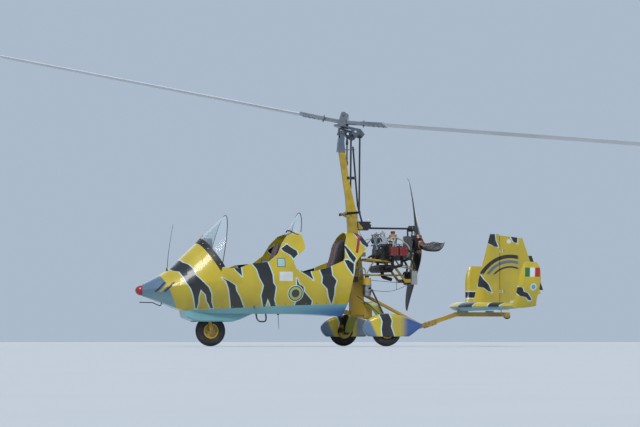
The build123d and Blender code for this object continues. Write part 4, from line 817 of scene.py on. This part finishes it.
def screen_trim():
    """Rims, rivets and the yaw string on the windscreens."""
    trim = Piece("windscreen_rims", "black_trim")
    trim.tube(arch_line(0.0, 1507.9, -130.6, 333, 812.6, 629.3), 4.5, 8)
    trim.tube(arch_line(0.0735, 562.8, -34.18, 183, 1244.6, 237), 4.5, 8)
    # The rear screen's foot lies on the hump between the seats.
    foot = []
    for index in range(21):
        y = -184 + 18.4 * index
        lift = math.sqrt(max(0.0, 1 - (y / 185) ** 2))
        hump_z = 1284 - 66 * (y / 205) ** 2
        foot.append((556 + (1262 + 182 * lift - hump_z) / 1.61, y, hump_z + 1))
    trim.tube(foot, 7, 8)
    trim.done()
    rivets = Piece("windscreen_rivets", "silver")
    for degrees in (10, 28, 46, 64, 82, 98, 116, 134, 152, 170):
        sine, cosine = math.sin(math.radians(degrees)), math.cos(math.radians(degrees))
        place = (1481.88 + 203.68 * sine, 338.6 * cosine, 837 + 319.66 * sine)
        out_z = sine / 0.5103
        rivets.lathe(BUTTON, place, (0.936 * out_z, cosine / 0.3383, out_z), 12)
    rivets.done()
    string = Piece("yaw_string", "red_cloth")
    string.tube(((1700, 0, 1141), (1672, 2, 1172), (1648, 0, 1197), (1628, -2, 1222)), 2.8, 8)
    string.done()


def shell_fasteners():
    """Screws along the joint between the shell and the belly, and round the nose cap."""
    rays = []
    for side in SIDES:
        for index in range(16):
            x = 60 + index * 118
            (x1, z1), (x2, z2) = BELLY_JOINT[:2] if x < BELLY_JOINT[1][0] else BELLY_JOINT[1:]
            z = z1 + (z2 - z1) * (x - x1) / (x2 - x1) + 18
            rays.append(((x, side * 600, z), (0, -side, 0)))
    for cosine, sine in turns(10, 0.5):
        rays.append(((2300, 300 * cosine, 610 + 300 * sine), (0, -cosine, -sine)))
    tree = surface_of(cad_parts["fuselage_shell"])
    screws = Piece("shell_screws", "steel")
    for start, way in rays:
        place, normal = met(tree, start, way)
        if place:
            screws.lathe(BUTTON, place, normal, 10)
    screws.done()


def antennas():
    """Two antennas, the boarding step and the strobe light."""
    mast = Piece("antenna_top", "black_trim")
    mast.lathe(((17, -6), (16, 4), (8, 14), (4, 30)), (2031, 0, 829), (0.3, 0, 1))
    mast.tube(((2033, 0, 850), (2020, 0, 1000), (1996, 0, 1170), (1967, 0, 1339)), 3.5, 8, end_radius=1.6)
    mast.done()
    belly = Piece("antenna_belly", "black_trim")
    belly.lathe(((15, -10), (14, 4), (6, 14)), (770, 0, 358), (0, 0, -1))
    belly.tube(((770, 0, 350), (766, 0, 260), (759, 0, 184)), 3.2, 8, end_radius=2)
    belly.done()
    step = Piece("boarding_step", "black_paint")
    step.tube((
        (1068, 160, 372), (1066, 190, 310), (1050, 215, 278), (1012, 222, 270), (975, 215, 278),
        (960, 190, 310), (958, 160, 372),
    ), 8.5)
    step.done()
    light = Piece("strobe_light", "black_paint")
    light.lathe(
        ((30, -30), (34, 0), (34, 12), (20, 16), (20, 26), (33, 30), (33, 40), (15, 44)), (-279, 0, 1352), UP
    )
    light.use("white_plastic")
    light.lathe(((13.5, 0), (13.5, 14), (11, 26), (5, 33), (1, 34)), (-279, 0, 1394), UP, 20)
    light.done()


# Cushions: name, CAD nodes replaced, (x, z) outline seen from the side, and the channels across it as
# (x, z) of the first and the way along which they follow one another
CUSHIONS = (
    ("front_seat_pan", ("front_seat",),
     ((1318, 470), (1318, 525), (1025, 488), (1000, 432), (1290, 430)), (1060, 500), (1, 0.1)),
    ("front_seat_back", (),
     ((985, 500), (868, 790), (786, 1070), (742, 1145), (722, 1135), (770, 1000), (850, 700), (925, 470)),
     (920, 580), (-0.27, 0.96)),
    ("rear_seat_pan", ("rear_seat",), ((590, 470), (588, 520), (315, 488), (290, 432), (570, 430)),
     (350, 500), (1, 0.1)),
    ("rear_seat_back", (),
     ((275, 500), (188, 770), (112, 1010), (62, 1185), (40, 1180), (78, 1000), (150, 680), (215, 470)),
     (220, 580), (-0.27, 0.96)),
)
CUSHION_HALF_WIDTH = 168
# The rest of a cushion's measures are in metres.
CHANNEL_STEP = 0.082
LAST_CHANNEL = 5
CHANNEL_DEPTH = 0.007
CHANNEL_REACH = 0.006
SEAM_REACH = 0.005
PIPING_REACH = 0.0032
BOLSTER_Y = 0.112
SWELL_CAP = 0.02


def baked(obj):
    """Leaves on the object what its modifiers make of it."""
    shape = obj.evaluated_get(bpy.context.evaluated_depsgraph_get())
    mesh = bpy.data.meshes.new_from_object(shape)
    obj.modifiers.clear()
    obj.data = mesh


def swell(obj):
    """Blows the cushion up as cloth, and holds each point within the cap."""
    rest = [v.co.copy() for v in obj.data.vertices]
    cloth_modifier = obj.modifiers.new("swell", "CLOTH")
    cloth_modifier.settings.use_pressure = True
    cloth_modifier.settings.uniform_pressure_force = 4.0
    cloth_modifier.settings.effector_weights.gravity = 0.0
    for number in range(1, 21):
        bpy.context.scene.frame_set(number)
    baked(obj)
    bpy.context.scene.frame_set(1)
    for vert, start in zip(obj.data.vertices, rest):
        move = vert.co - start
        vert.co = start + move * min(1.0, SWELL_CAP / max(move.length, 1e-6))


def cushions():
    """Padded pans and backs, with a sewn seam along each bolster and channels between them."""
    made = {}
    for name, replaced, outline, (start_x, start_z), (way_x, way_z) in CUSHIONS:
        pad = Piece(name, "cloth")
        pad.plate(outline, -CUSHION_HALF_WIDTH, CUSHION_HALF_WIDTH, 16)
        obj = pad.done(replaces=replaced, soft_angle=180.0)
        remesh = obj.modifiers.new("even", "REMESH")
        remesh.mode = "VOXEL"
        remesh.voxel_size = 0.006
        baked(obj)
        swell(obj)
        obj.modifiers.new("fine", "SUBSURF").levels = 1
        baked(obj)
        mesh = obj.data
        mesh.materials.clear()
        for finish in ("cloth", "piping"):
            mesh.materials.append(MATERIALS[finish])
        way = Vector((way_x, 0, way_z)).normalized()
        start = DRAWING_SHIFT @ Vector(mm((start_x, 0, start_z)))
        normals = [v.normal.copy() for v in mesh.vertices]
        for vert, normal in zip(mesh.vertices, normals):
            along = (vert.co - start).dot(way)
            near = along - CHANNEL_STEP * max(0, min(LAST_CHANNEL, round(along / CHANNEL_STEP)))
            channel = math.exp(-(near / CHANNEL_REACH) ** 2) if abs(vert.co.y) < BOLSTER_Y else 0.0
            seam = math.exp(-((abs(vert.co.y) - BOLSTER_Y) / SEAM_REACH) ** 2)
            vert.co -= normal * CHANNEL_DEPTH * max(channel, seam)
        for face in mesh.polygons:
            face.use_smooth = True
            face.material_index = 1 if abs(abs(face.center.y) - BOLSTER_Y) < PIPING_REACH else 0
        made[name] = obj
    return made


# Seat shells under the cushions, as (x, z) outlines seen from the side
SEAT_SHELLS = (
    ("front",
     ((1325, 412), (1325, 432), (1000, 428), (918, 470), (842, 700), (760, 1000), (712, 1140),
      (700, 1135), (748, 990), (828, 690), (905, 412))),
    ("rear",
     ((600, 412), (600, 432), (290, 428), (208, 470), (142, 680), (68, 1000), (30, 1190), (20, 1185),
      (56, 990), (130, 670), (190, 412))),
)
# Harness: the seat, the (x, z) line of the belts down its back, and the x of the belts over its pan
HARNESS = (
    ("front", ((752, 1130), (800, 1030), (850, 870), (900, 720), (955, 580)), 1060),
    ("rear", ((68, 1160), (100, 1050), (145, 900), (200, 730), (255, 570)), 360),
)
BELT_WIDTH = 45
BELT_THICKNESS = 2.2


def seat_fittings(made):
    """Seat shells, and harness belts that lie on the cushions."""
    for seat, outline in SEAT_SHELLS:
        shell = Piece(f"{seat}_seat_shell", "panel_black")
        shell.plate(outline, -185, 185, 3)
        shell.done()
    ahead, up = Vector((0.96, 0, 0.27)), Vector(UP)
    for seat, line, lap_x in HARNESS:
        belts = Piece(f"{seat}_harness", "webbing")
        back = surface_of(made[f"{seat}_seat_back"])
        pan = surface_of(made[f"{seat}_seat_pan"])
        for side in SIDES:
            shoulder = []
            for point in smooth_line([Vector((x, side * 62, z)) for x, z in line]):
                place, _ = met(back, point + ahead * 300, -ahead)
                shoulder.append(place + ahead * 3 if place else point)
            top = shoulder[0] + Vector((-50, 0, 10))
            belts.belt([top] + shoulder, [up] + [ahead] * len(shoulder), (0, 1, 0))
            lap = []
            for index in range(9):
                point = Vector((lap_x + 20, side * (150 - 16 * index), 800))
                place, _ = met(pan, point, -up)
                lap.append(place + up * 3 if place else point)
            belts.belt(lap, [up] * len(lap), AHEAD)
        top_z = lap[-1].z
        belts.use("steel")
        belts.rounded((lap_x - 8, -28, top_z + 1), (lap_x + 46, 28, top_z + 17), 5)
        belts.done()


# Dials on the panel: y, z, radius
DIALS = (
    (-128, 985, 36), (-128, 1045, 20), (-40, 985, 36), (48, 985, 36), (132, 1030, 24), (132, 965, 24),
    (0, 1128, 38), (-40, 925, 14), (40, 925, 14),
)


def cockpit_fittings():
    """Dials with their marks, the rudder pedals and the grips of the sticks."""
    panel = Piece("instrument_dials", "black_trim")
    for y, z, radius in DIALS:
        x = 1540 if z > 1080 else 1590
        panel.use("black_trim")
        bezel = ((radius * 1.16, 0), (radius * 1.16, 6), (radius * 1.02, 8), (radius, 3))
        panel.lathe(bezel, (x, y, z), AFT, 28)
        panel.use("dial")
        panel.lathe(((radius * 0.99, 0), (radius * 0.99, 4.5), (radius * 0.2, 4.7)), (x, y, z), AFT, 28)
        panel.use("white_plastic")
        for index in range(10):
            turn = math.radians(-130 + index * 29)
            across, up = radius * math.sin(turn), radius * math.cos(turn)
            mark = [(x - 5.2, y + across * reach, z + up * reach) for reach in (0.78, 0.93)]
            panel.tube(mark, radius * 0.022, 4)
        panel.tube(((x - 5.5, y, z), (x - 5.5, y - radius * 0.45, z + radius * 0.5)), radius * 0.035, 5)
    panel.done()
    pedals = Piece("rudder_pedals", "steel")
    for x, reach in ((1830, 85), (1120, 265)):
        for y in (reach, -reach):
            pedals.tube(((x - 10, y, 410), (x, y, 500), (x + 12, y, 570)), 8)
            pedals.rounded((x - 6, y - 38, 545), (x + 12, y + 38, 595), 4)
    pedals.done()
    grips = Piece("stick_grips", "black_trim")
    for x in (1366, 606):
        grips.use("black_trim")
        grips.lathe(
            ((13, -10), (16.5, 0), (15.5, 20), (17.5, 40), (16.5, 60), (19, 85), (16, 102), (6, 108)),
            (x, 0, 735), (0.14, 0, 1), 18,
        )
        grips.use("red_paint")
        grips.lathe(((5, 0), (5, 6), (3, 8)), (x + 4, 0, 826), (-0.7, 0, 0.7), 12)
    grips.done()


def both_sides(points):
    """A line and its mirror image on the other side."""
    return points, tuple((x, -y, z) for x, y, z in points)


# Pipes and hoses of the engine: name, finish, slot, radius, and the lines of points they follow
PIPES = (
    ("coolant_hoses", "pale_hose", "intake_metal", 7.5,
     (((-493, 243, 1100), (-500, 236, 1150), (-540, 170, 1192), (-556, 60, 1222), (-560, 36, 1222)),
      ((-600, 243, 1100), (-608, 234, 1140), (-632, 170, 1180), (-606, 70, 1205), (-594, 32, 1200)),
      ((-463, -243, 1100), (-470, -236, 1150), (-520, -170, 1192), (-546, -70, 1222), (-556, -36, 1222)),
      ((-570, -243, 1100), (-590, -234, 1140), (-625, -170, 1180), (-606, -70, 1205), (-594, -32, 1200)),
      ((-455, 150, 1160), (-490, 165, 1198), (-530, 168, 1214), (-585, 168, 1202), (-645, 175, 1160),
       (-692, 180, 1115), (-712, 170, 1060), (-700, 120, 1010), (-690, 60, 1000)),
      ((-135, 105, 780), (-140, 115, 845), (-165, 120, 872), (-195, 120, 862), (-210, 118, 820),
       (-212, 118, 770)), ((-100, 75, 960), (-104, 85, 915), (-118, 90, 870), (-150, 80, 850)))),
    ("dark_hoses", "hose", "black_trim", 12,
     (((-640, 190, 1088), (-668, 228, 1078), (-706, 238, 1042), (-710, 236, 1002), (-672, 222, 966),
       (-615, 160, 955)),
      ((-360, 185, 1105), (-373, 200, 1070), (-383, 202, 1005), (-420, 200, 969), (-476, 186, 956),
       (-530, 140, 950)),
      ((-777, 132, 836), (-781, 130, 895), (-764, 104, 955), (-735, 66, 985), (-700, 40, 982)),
      ((-777, -132, 836), (-781, -130, 895), (-750, -118, 950), (-700, -92, 975), (-640, -45, 975)),
      ((-275, -20, 968), (-300, -20, 1000), (-330, -20, 1010), (-350, -20, 1010)))),
    ("oil_pipes", "tan_plastic", "tank_plastic", 6.5,
     (((-560, 120, 960), (-590, 150, 915), (-655, 152, 900), (-718, 150, 884), (-760, 140, 842)),
      ((-575, 110, 950), (-600, 135, 895), (-660, 138, 880), (-716, 136, 866), (-764, 128, 842)),
      ((-226, 118, 768), (-235, 110, 820), (-270, 90, 880), (-330, 60, 945), (-420, 40, 972)))),
    ("oil_line", "frame_paint", "mount_paint", 10,
     (((-774, 60, 1045), (-778, 61, 960), (-776, 60, 838)),)),
    ("engine_cables", "cable", "dark_metal", 2.6,
     (((-275, 118, 735), (-420, 119, 724), (-560, 119, 712), (-744, 119, 712)),
      ((-275, 118, 622), (-400, 118, 612), (-500, 118, 614), (-600, 118, 642), (-744, 119, 700)),
      ((-572, 119, 786), (-572, 119, 632)),
      *both_sides(((-388, 149, 1196), (-330, 150, 1205), (-250, 110, 1165), (-185, 62, 1080),
                   (-160, 52, 990))),
      ((-134, 34, 1520), (-142, 36, 1420), (-156, 37, 1310), (-180, 40, 1240), (-215, 42, 1180),
       (-200, 52, 1040)))),
    ("fuel_lines", "red_cloth", "black_trim", 4.2,
     (((-412, 82, 1236), (-400, 45, 1252), (-385, 0, 1246), (-400, -45, 1252), (-412, -82, 1236)),
      ((-385, 0, 1246), (-340, 0, 1230), (-270, 20, 1150), (-180, 55, 1060), (-140, 55, 940),
       (-110, 60, 800)))),
    ("prerotator_cable", "cable", "dark_metal", 8, (((-30, 0, 2020), (-30, 0, 2120), (-31, 0, 2262)),)),
    ("brake_hoses", "hose", "black_trim", 4,
     (*both_sides(((-116, 100, 561), (-140, 350, 480), (-169, 700, 366), (-172, 742, 300))),)),
)
# Thinner pipes than this have fewer sides and no clamps.
THIN_PIPE = 5
# The engine's cylinders: x, and the side they stand on
CYLINDERS = ((-493, 1), (-600, 1), (-463, -1), (-570, -1))
CRANKSHAFT_Z = 1055
PROPELLER_Z = 1150


def pipework():
    """Hoses, pipes and cables, with a clamp at each end of a hose."""
    for name, finish, slot, radius, lines in PIPES:
        hoses = Piece(name, finish)
        for points in lines:
            hoses.use(finish)
            hoses.tube(points, radius, 10 if radius > THIN_PIPE else 7)
            if radius > THIN_PIPE and finish != "frame_paint":
                hoses.use("steel")
                for end, next_point in ((points[0], points[1]), (points[-1], points[-2])):
                    way = (Vector(next_point) - Vector(end)).normalized()
                    hoses.lathe(((radius + 2, 0), (radius + 2, 9)), Vector(end) + way * 12, way, 14)
        hoses.done()


def engine_fittings():
    """Caps, bolts, plug leads, carburettor details and boxes round the engine."""
    leads = Piece("plug_leads", "hose")
    covers = Piece("engine_bolts", "steel")
    for x, side in CYLINDERS:
        for dx in (-20, 20):
            leads.tube((
                (-460 + 0.3 * (x + dx + 460), side * 30, 1142), (x + dx * 0.6, side * 100, 1140),
                (x + dx, side * 170, 1142), (x + dx, side * 208, 1126),
            ), 3.5, 7)
            leads.lathe(
                ((8.5, -2), (8.5, 14), (6, 20), (6, 26), (4, 30)),
                (x + dx, side * 212, 1103), (0, -side * 0.35, 1), 12,
            )
            for dz in (-34, 34):
                covers.bolt((x + dx * 1.7, side * 299.5, CRANKSHAFT_Z + dz), (0, side, 0), 4.2)
    for cosine, sine in turns(8, 0.5):
        covers.bolt((-769.5, 60 * cosine, PROPELLER_Z + 60 * sine), AFT, 5)
    covers.side_bolts(6, (-405, 129.8, 985), (-500, 129.8, 985))
    leads.use("black_trim")
    leads.rounded((-500, -36, 1126), (-424, 36, 1158), 5)
    leads.done()
    covers.done()

    carbs = Piece("carburettor_parts", "silver")
    for y, near, far in ((110, 143, 147), (-110, -147, -143)):
        carbs.use("silver")
        carbs.lathe(((30.5, -2), (31, 2), (26, 7), (11, 10), (11, 18), (6, 24)), (-412, y, 1262), UP)
        carbs.tube([(-412 + 30.8 * c, y + 30.8 * s, 1236) for c, s in turns(20)], 2.2, 6, closed=True)
        carbs.tube(((-345, y, 1131), (-452, y, 1131)), 8)
        carbs.use("dark_metal")
        carbs.plate(((-400, 1165), (-384, 1168), (-372, 1205), (-380, 1213), (-394, 1188)), near, far, 0.8)
        carbs.use("black_trim")
        carbs.lathe(((24, -2), (27, 3), (27, 14), (22, 18)), (-372, y, 1182), AHEAD)
    carbs.use("pale_alloy")
    carbs.tube(((-300, 100, 1246), (-355, 100, 1080)), 17, 18)
    carbs.use("silver")
    carbs.side_bolts(4, (-442, 142, 1155), (-382, 142, 1155))
    for spot in ((-300, 100, 1246), (-352, 100, 1089)):
        carbs.lathe(((18.5, -6), (19.5, -4), (19.5, 6), (18.5, 8)), spot, (-55, 0, -166), 18)
    carbs.done()

    tanks = Piece("tank_fittings", "red_paint")
    tanks.lathe(((24, 0), (26.2, 3), (26.2, 22), (20, 28)), (-570, 0, 1264), UP)
    tanks.use("steel")
    tanks.lathe(((45.2, 0), (45.2, 12)), (-570, 0, 1176), UP, 36)
    for z in (598, 664):
        tanks.lathe(((50.3, 0), (50.3, 12)), (-226, 118, z), UP, 36)
    tanks.use("black_trim")
    tanks.lathe(((24, 0), (24, 14), (19, 17)), (-226, 118, 769), UP, 20)
    tanks.lathe(((12, -4), (12, 6), (8, 8), (8, 20), (11, 22), (11, 30)), (-240, 165, 645), (-0.2, 1, 0), 16)
    tanks.done()

    boxes = Piece("bay_boxes", "black_trim")
    boxes.rounded((-130, 55, 716), (-66, 104, 772), 5)
    boxes.use("tan_plastic")
    boxes.rounded((-222, 36, 1000), (-165, 92, 1048), 5)
    boxes.use("frame_paint")
    boxes.plate(((-150, 1388), (-150, 1306), (-206, 1306), (-206, 1324)), 31, 38, 1)
    boxes.done()


def radiator_fan():
    """The electric fan on the radiator's front."""
    middle_z = 766
    fan = Piece("radiator_fan", "black_trim")
    for x, radius in ((-738, 66), (-706, 64)):
        fan.tube([(x, radius * c, middle_z + radius * s) for c, s in turns(32)], 6.5, 8, closed=True)
    fan.lathe(((24, 0), (24, 30), (20, 36)), (-742, 0, middle_z), AHEAD)
    for cosine, sine in turns(4, 0.5):
        for ends in (((-738, 20), (-738, 90)), ((-738, 66), (-706, 64))):
            fan.tube([(x, reach * cosine, middle_z + reach * sine) for x, reach in ends], 5, 8)
    for cosine, sine in turns(7):
        out = Vector((0, cosine, sine))
        across = Vector((0, -sine, cosine))
        rings = []
        for reach, chord, pitch in ((20, 22, 0.9), (40, 26, 0.6), (58, 24, 0.4)):
            flat = across * math.cos(pitch) + Vector((math.sin(pitch), 0, 0))
            middle = Vector((-722, 0, middle_z)) + out * reach
            rings.append(corners(middle, flat * (chord / 2), flat.cross(out) * 1.2))
        fan.skin(mm(rings))
    fan.done()


def belts():
    """The prerotator's pulley above the propeller hub, and the two belts that drive it."""
    low_z, low_radius, high_z, high_radius = PROPELLER_Z, 92.6, 1322, 31
    drive = Piece("prerotator_pulley", "steel")
    drive.lathe(((34, 0), (34, 8), (26.5, 11), (26.5, 36), (34, 39), (34, 43)), (-790, 0, high_z), AFT)
    drive.done()
    lean = math.asin((low_radius - high_radius) / (high_z - low_z))
    arcs = (
        (low_z, low_radius, math.pi - lean, math.pi + 2 * lean, 24),
        (high_z, high_radius, lean, math.pi - 2 * lean, 12),
    )
    loop = Piece("drive_belts", "hose")
    for x in (-808, -820):
        points = []
        for z, radius, start, sweep, steps in arcs:
            for index in range(steps + 1):
                turn = start + sweep * index / steps
                points.append((x, radius * math.cos(turn), z + radius * math.sin(turn)))
        loop.tube(points, 4.4, 8, closed=True)
    loop.done()


def propeller_fittings():
    """The clamp round each blade's root and the bolts of the hub."""
    hub = Piece("propeller_clamps", "copper")
    for degrees in (97, 217, 337):
        turn = math.radians(degrees)
        hub.lathe(
            ((36, 50), (44.5, 55), (44.5, 70), (40, 73), (40, 79), (44.5, 82), (44.5, 96), (36, 101)),
            (-880, 0, PROPELLER_Z), (0, math.sin(turn), math.cos(turn)), 28,
        )
    hub.use("steel")
    for cosine, sine in turns(6, 0.25):
        hub.bolt((-913.8, 51 * cosine, PROPELLER_Z + 51 * sine), AFT, 5)
    hub.done("propeller")


def rotor_fittings():
    """Bolts of the hub bar, the towers, the gimbal and the mast, and the prerotator's upper joint."""
    bar_height = 117
    precone = math.radians(3.2)
    blades = Piece("rotor_bar_bolts", "steel")
    for way in SIDES:
        turn = Matrix.Translation((0, 0, bar_height)) @ Matrix.Rotation(-way * precone, 4, "Y")
        for up in SIDES:
            axis = turn.to_3x3() @ Vector((0, 0, up))
            tip_stud = ((9.5, 0), (9.5, 6), (7, 8), (7, 22), (4, 25))
            blades.lathe(tip_stud, turn @ Vector((way * 238, 0, up * 15.8)), axis, 12)
            for along, y in ((300, 0), (355, 28), (355, -28), (410, 30), (410, -30), (465, 34), (465, -30)):
                blades.bolt(turn @ Vector((way * along, y, up * 15.8)), axis, 6.5)
    blades.side_bolts(12, (0, 54.5, 192))
    blades.done("rotor_blades", shift=DRAWING_SHIFT @ BLADE_FRAME)
    towers = Piece("tower_bolts", "steel")
    for x in (-36, 36):
        for side in SIDES:
            towers.bolt((x, side * 32, 80.8), UP, 6)
    towers.side_bolts(5, (-32.4, 53.8, 88), (32.4, 53.8, 88))
    towers.done("rotor_hub", shift=DRAWING_SHIFT @ BLADE_FRAME)
    plates = Piece("torque_plate_bolts", "steel")
    for side in SIDES:
        plates.bolt((side * 39.8, 0, -25), (side, 0, 0), 9)
    for x, z in ((-60, 50), (-110, 50), (-200, 16), (-180, -30), (-80, -5)):
        plates.side_bolts(4.5, (x, 149.8, z))
    plates.done("head_roll_plate", shift=DRAWING_SHIFT @ HEAD)
    mast = Piece("mast_fittings", "steel")
    mast.side_bolts(11, (33, 46.2, 2390))
    mast.side_bolts(8, (-57, 46.2, 1481))
    mast.side_bolts(6, (-105, 49.8, 1881), (-45, 49.8, 1881))
    for x, z in ((-90, 840), (-170, 840), (-90, 920), (-150, 920)):
        mast.side_bolts(6, (x, 45.8, z))
    mast.tube(((20, 0, 2199), (-130, 0, 2199)), 4)
    mast.use("black_trim")
    mast.lathe(((6, 0), (14.5, 6), (13.8, 20), (11.5, 45), (8, 70), (5, 84)), (-31, 0, 2252), UP, 18)
    mast.tube(((-31, 0, 2330), (-34, 0, 2346)), 5)
    mast.use("red_paint")
    mast.lathe(((11.5, 0), (13, 3), (13, 41), (11.5, 44)), (-30, 0, 2024), UP, 18)
    mast.done()


def gear_fittings():
    """Bolts of the landing gear, the tail and the nose fork, and a black sheet of painted shade on the
    rudder's tab.
    """
    gear = Piece("gear_bolts", "steel")
    for side in SIDES:
        gear.lathe(((14, -4), (14, 10), (8, 12), (8, 20), (4, 23)), (-194, side * 800, 341), UP, 18)
    gear.side_bolts(9, (-232, 111.8, 620))
    gear.side_bolts(6, (-965, 29.8, 222), (-990, 29.8, 262), (-1030, 29.8, 244), (-1062, 29.8, 266))
    gear.side_bolts(6, (-1936, 23.8, 342))
    for low_x, high_x in ((-1456, -1341), (-1764, -1684)):
        gear.rounded((low_x, -32, 374), (high_x, 32, 400), 3)
    gear.done()
    fork = Piece("fork_bolts", "steel")
    fork.side_bolts(9, (1543, 77.8, AXLE_Z))
    fork.done("nose_fork_leg")
    # Painted shade: a black sheet over the rudder's trim tab stands for the shadow the tab lies in.
    tab = Piece("rudder_tab_painted_shade", "black_paint")
    tab.plate(((-2192, 1030), (-2237, 1030), (-2376, 640), (-2331, 640)), -3.6, 3.6, 0.6)
    tab.done("rudder_blade")


camera_and_light()
floor()
tyres()
pipework()
engine_fittings()
radiator_fan()
belts()
propeller_fittings()
rotor_fittings()
gear_fittings()
screen_trim()
shell_fasteners()
antennas()
seat_fittings(cushions())
cockpit_fittings()
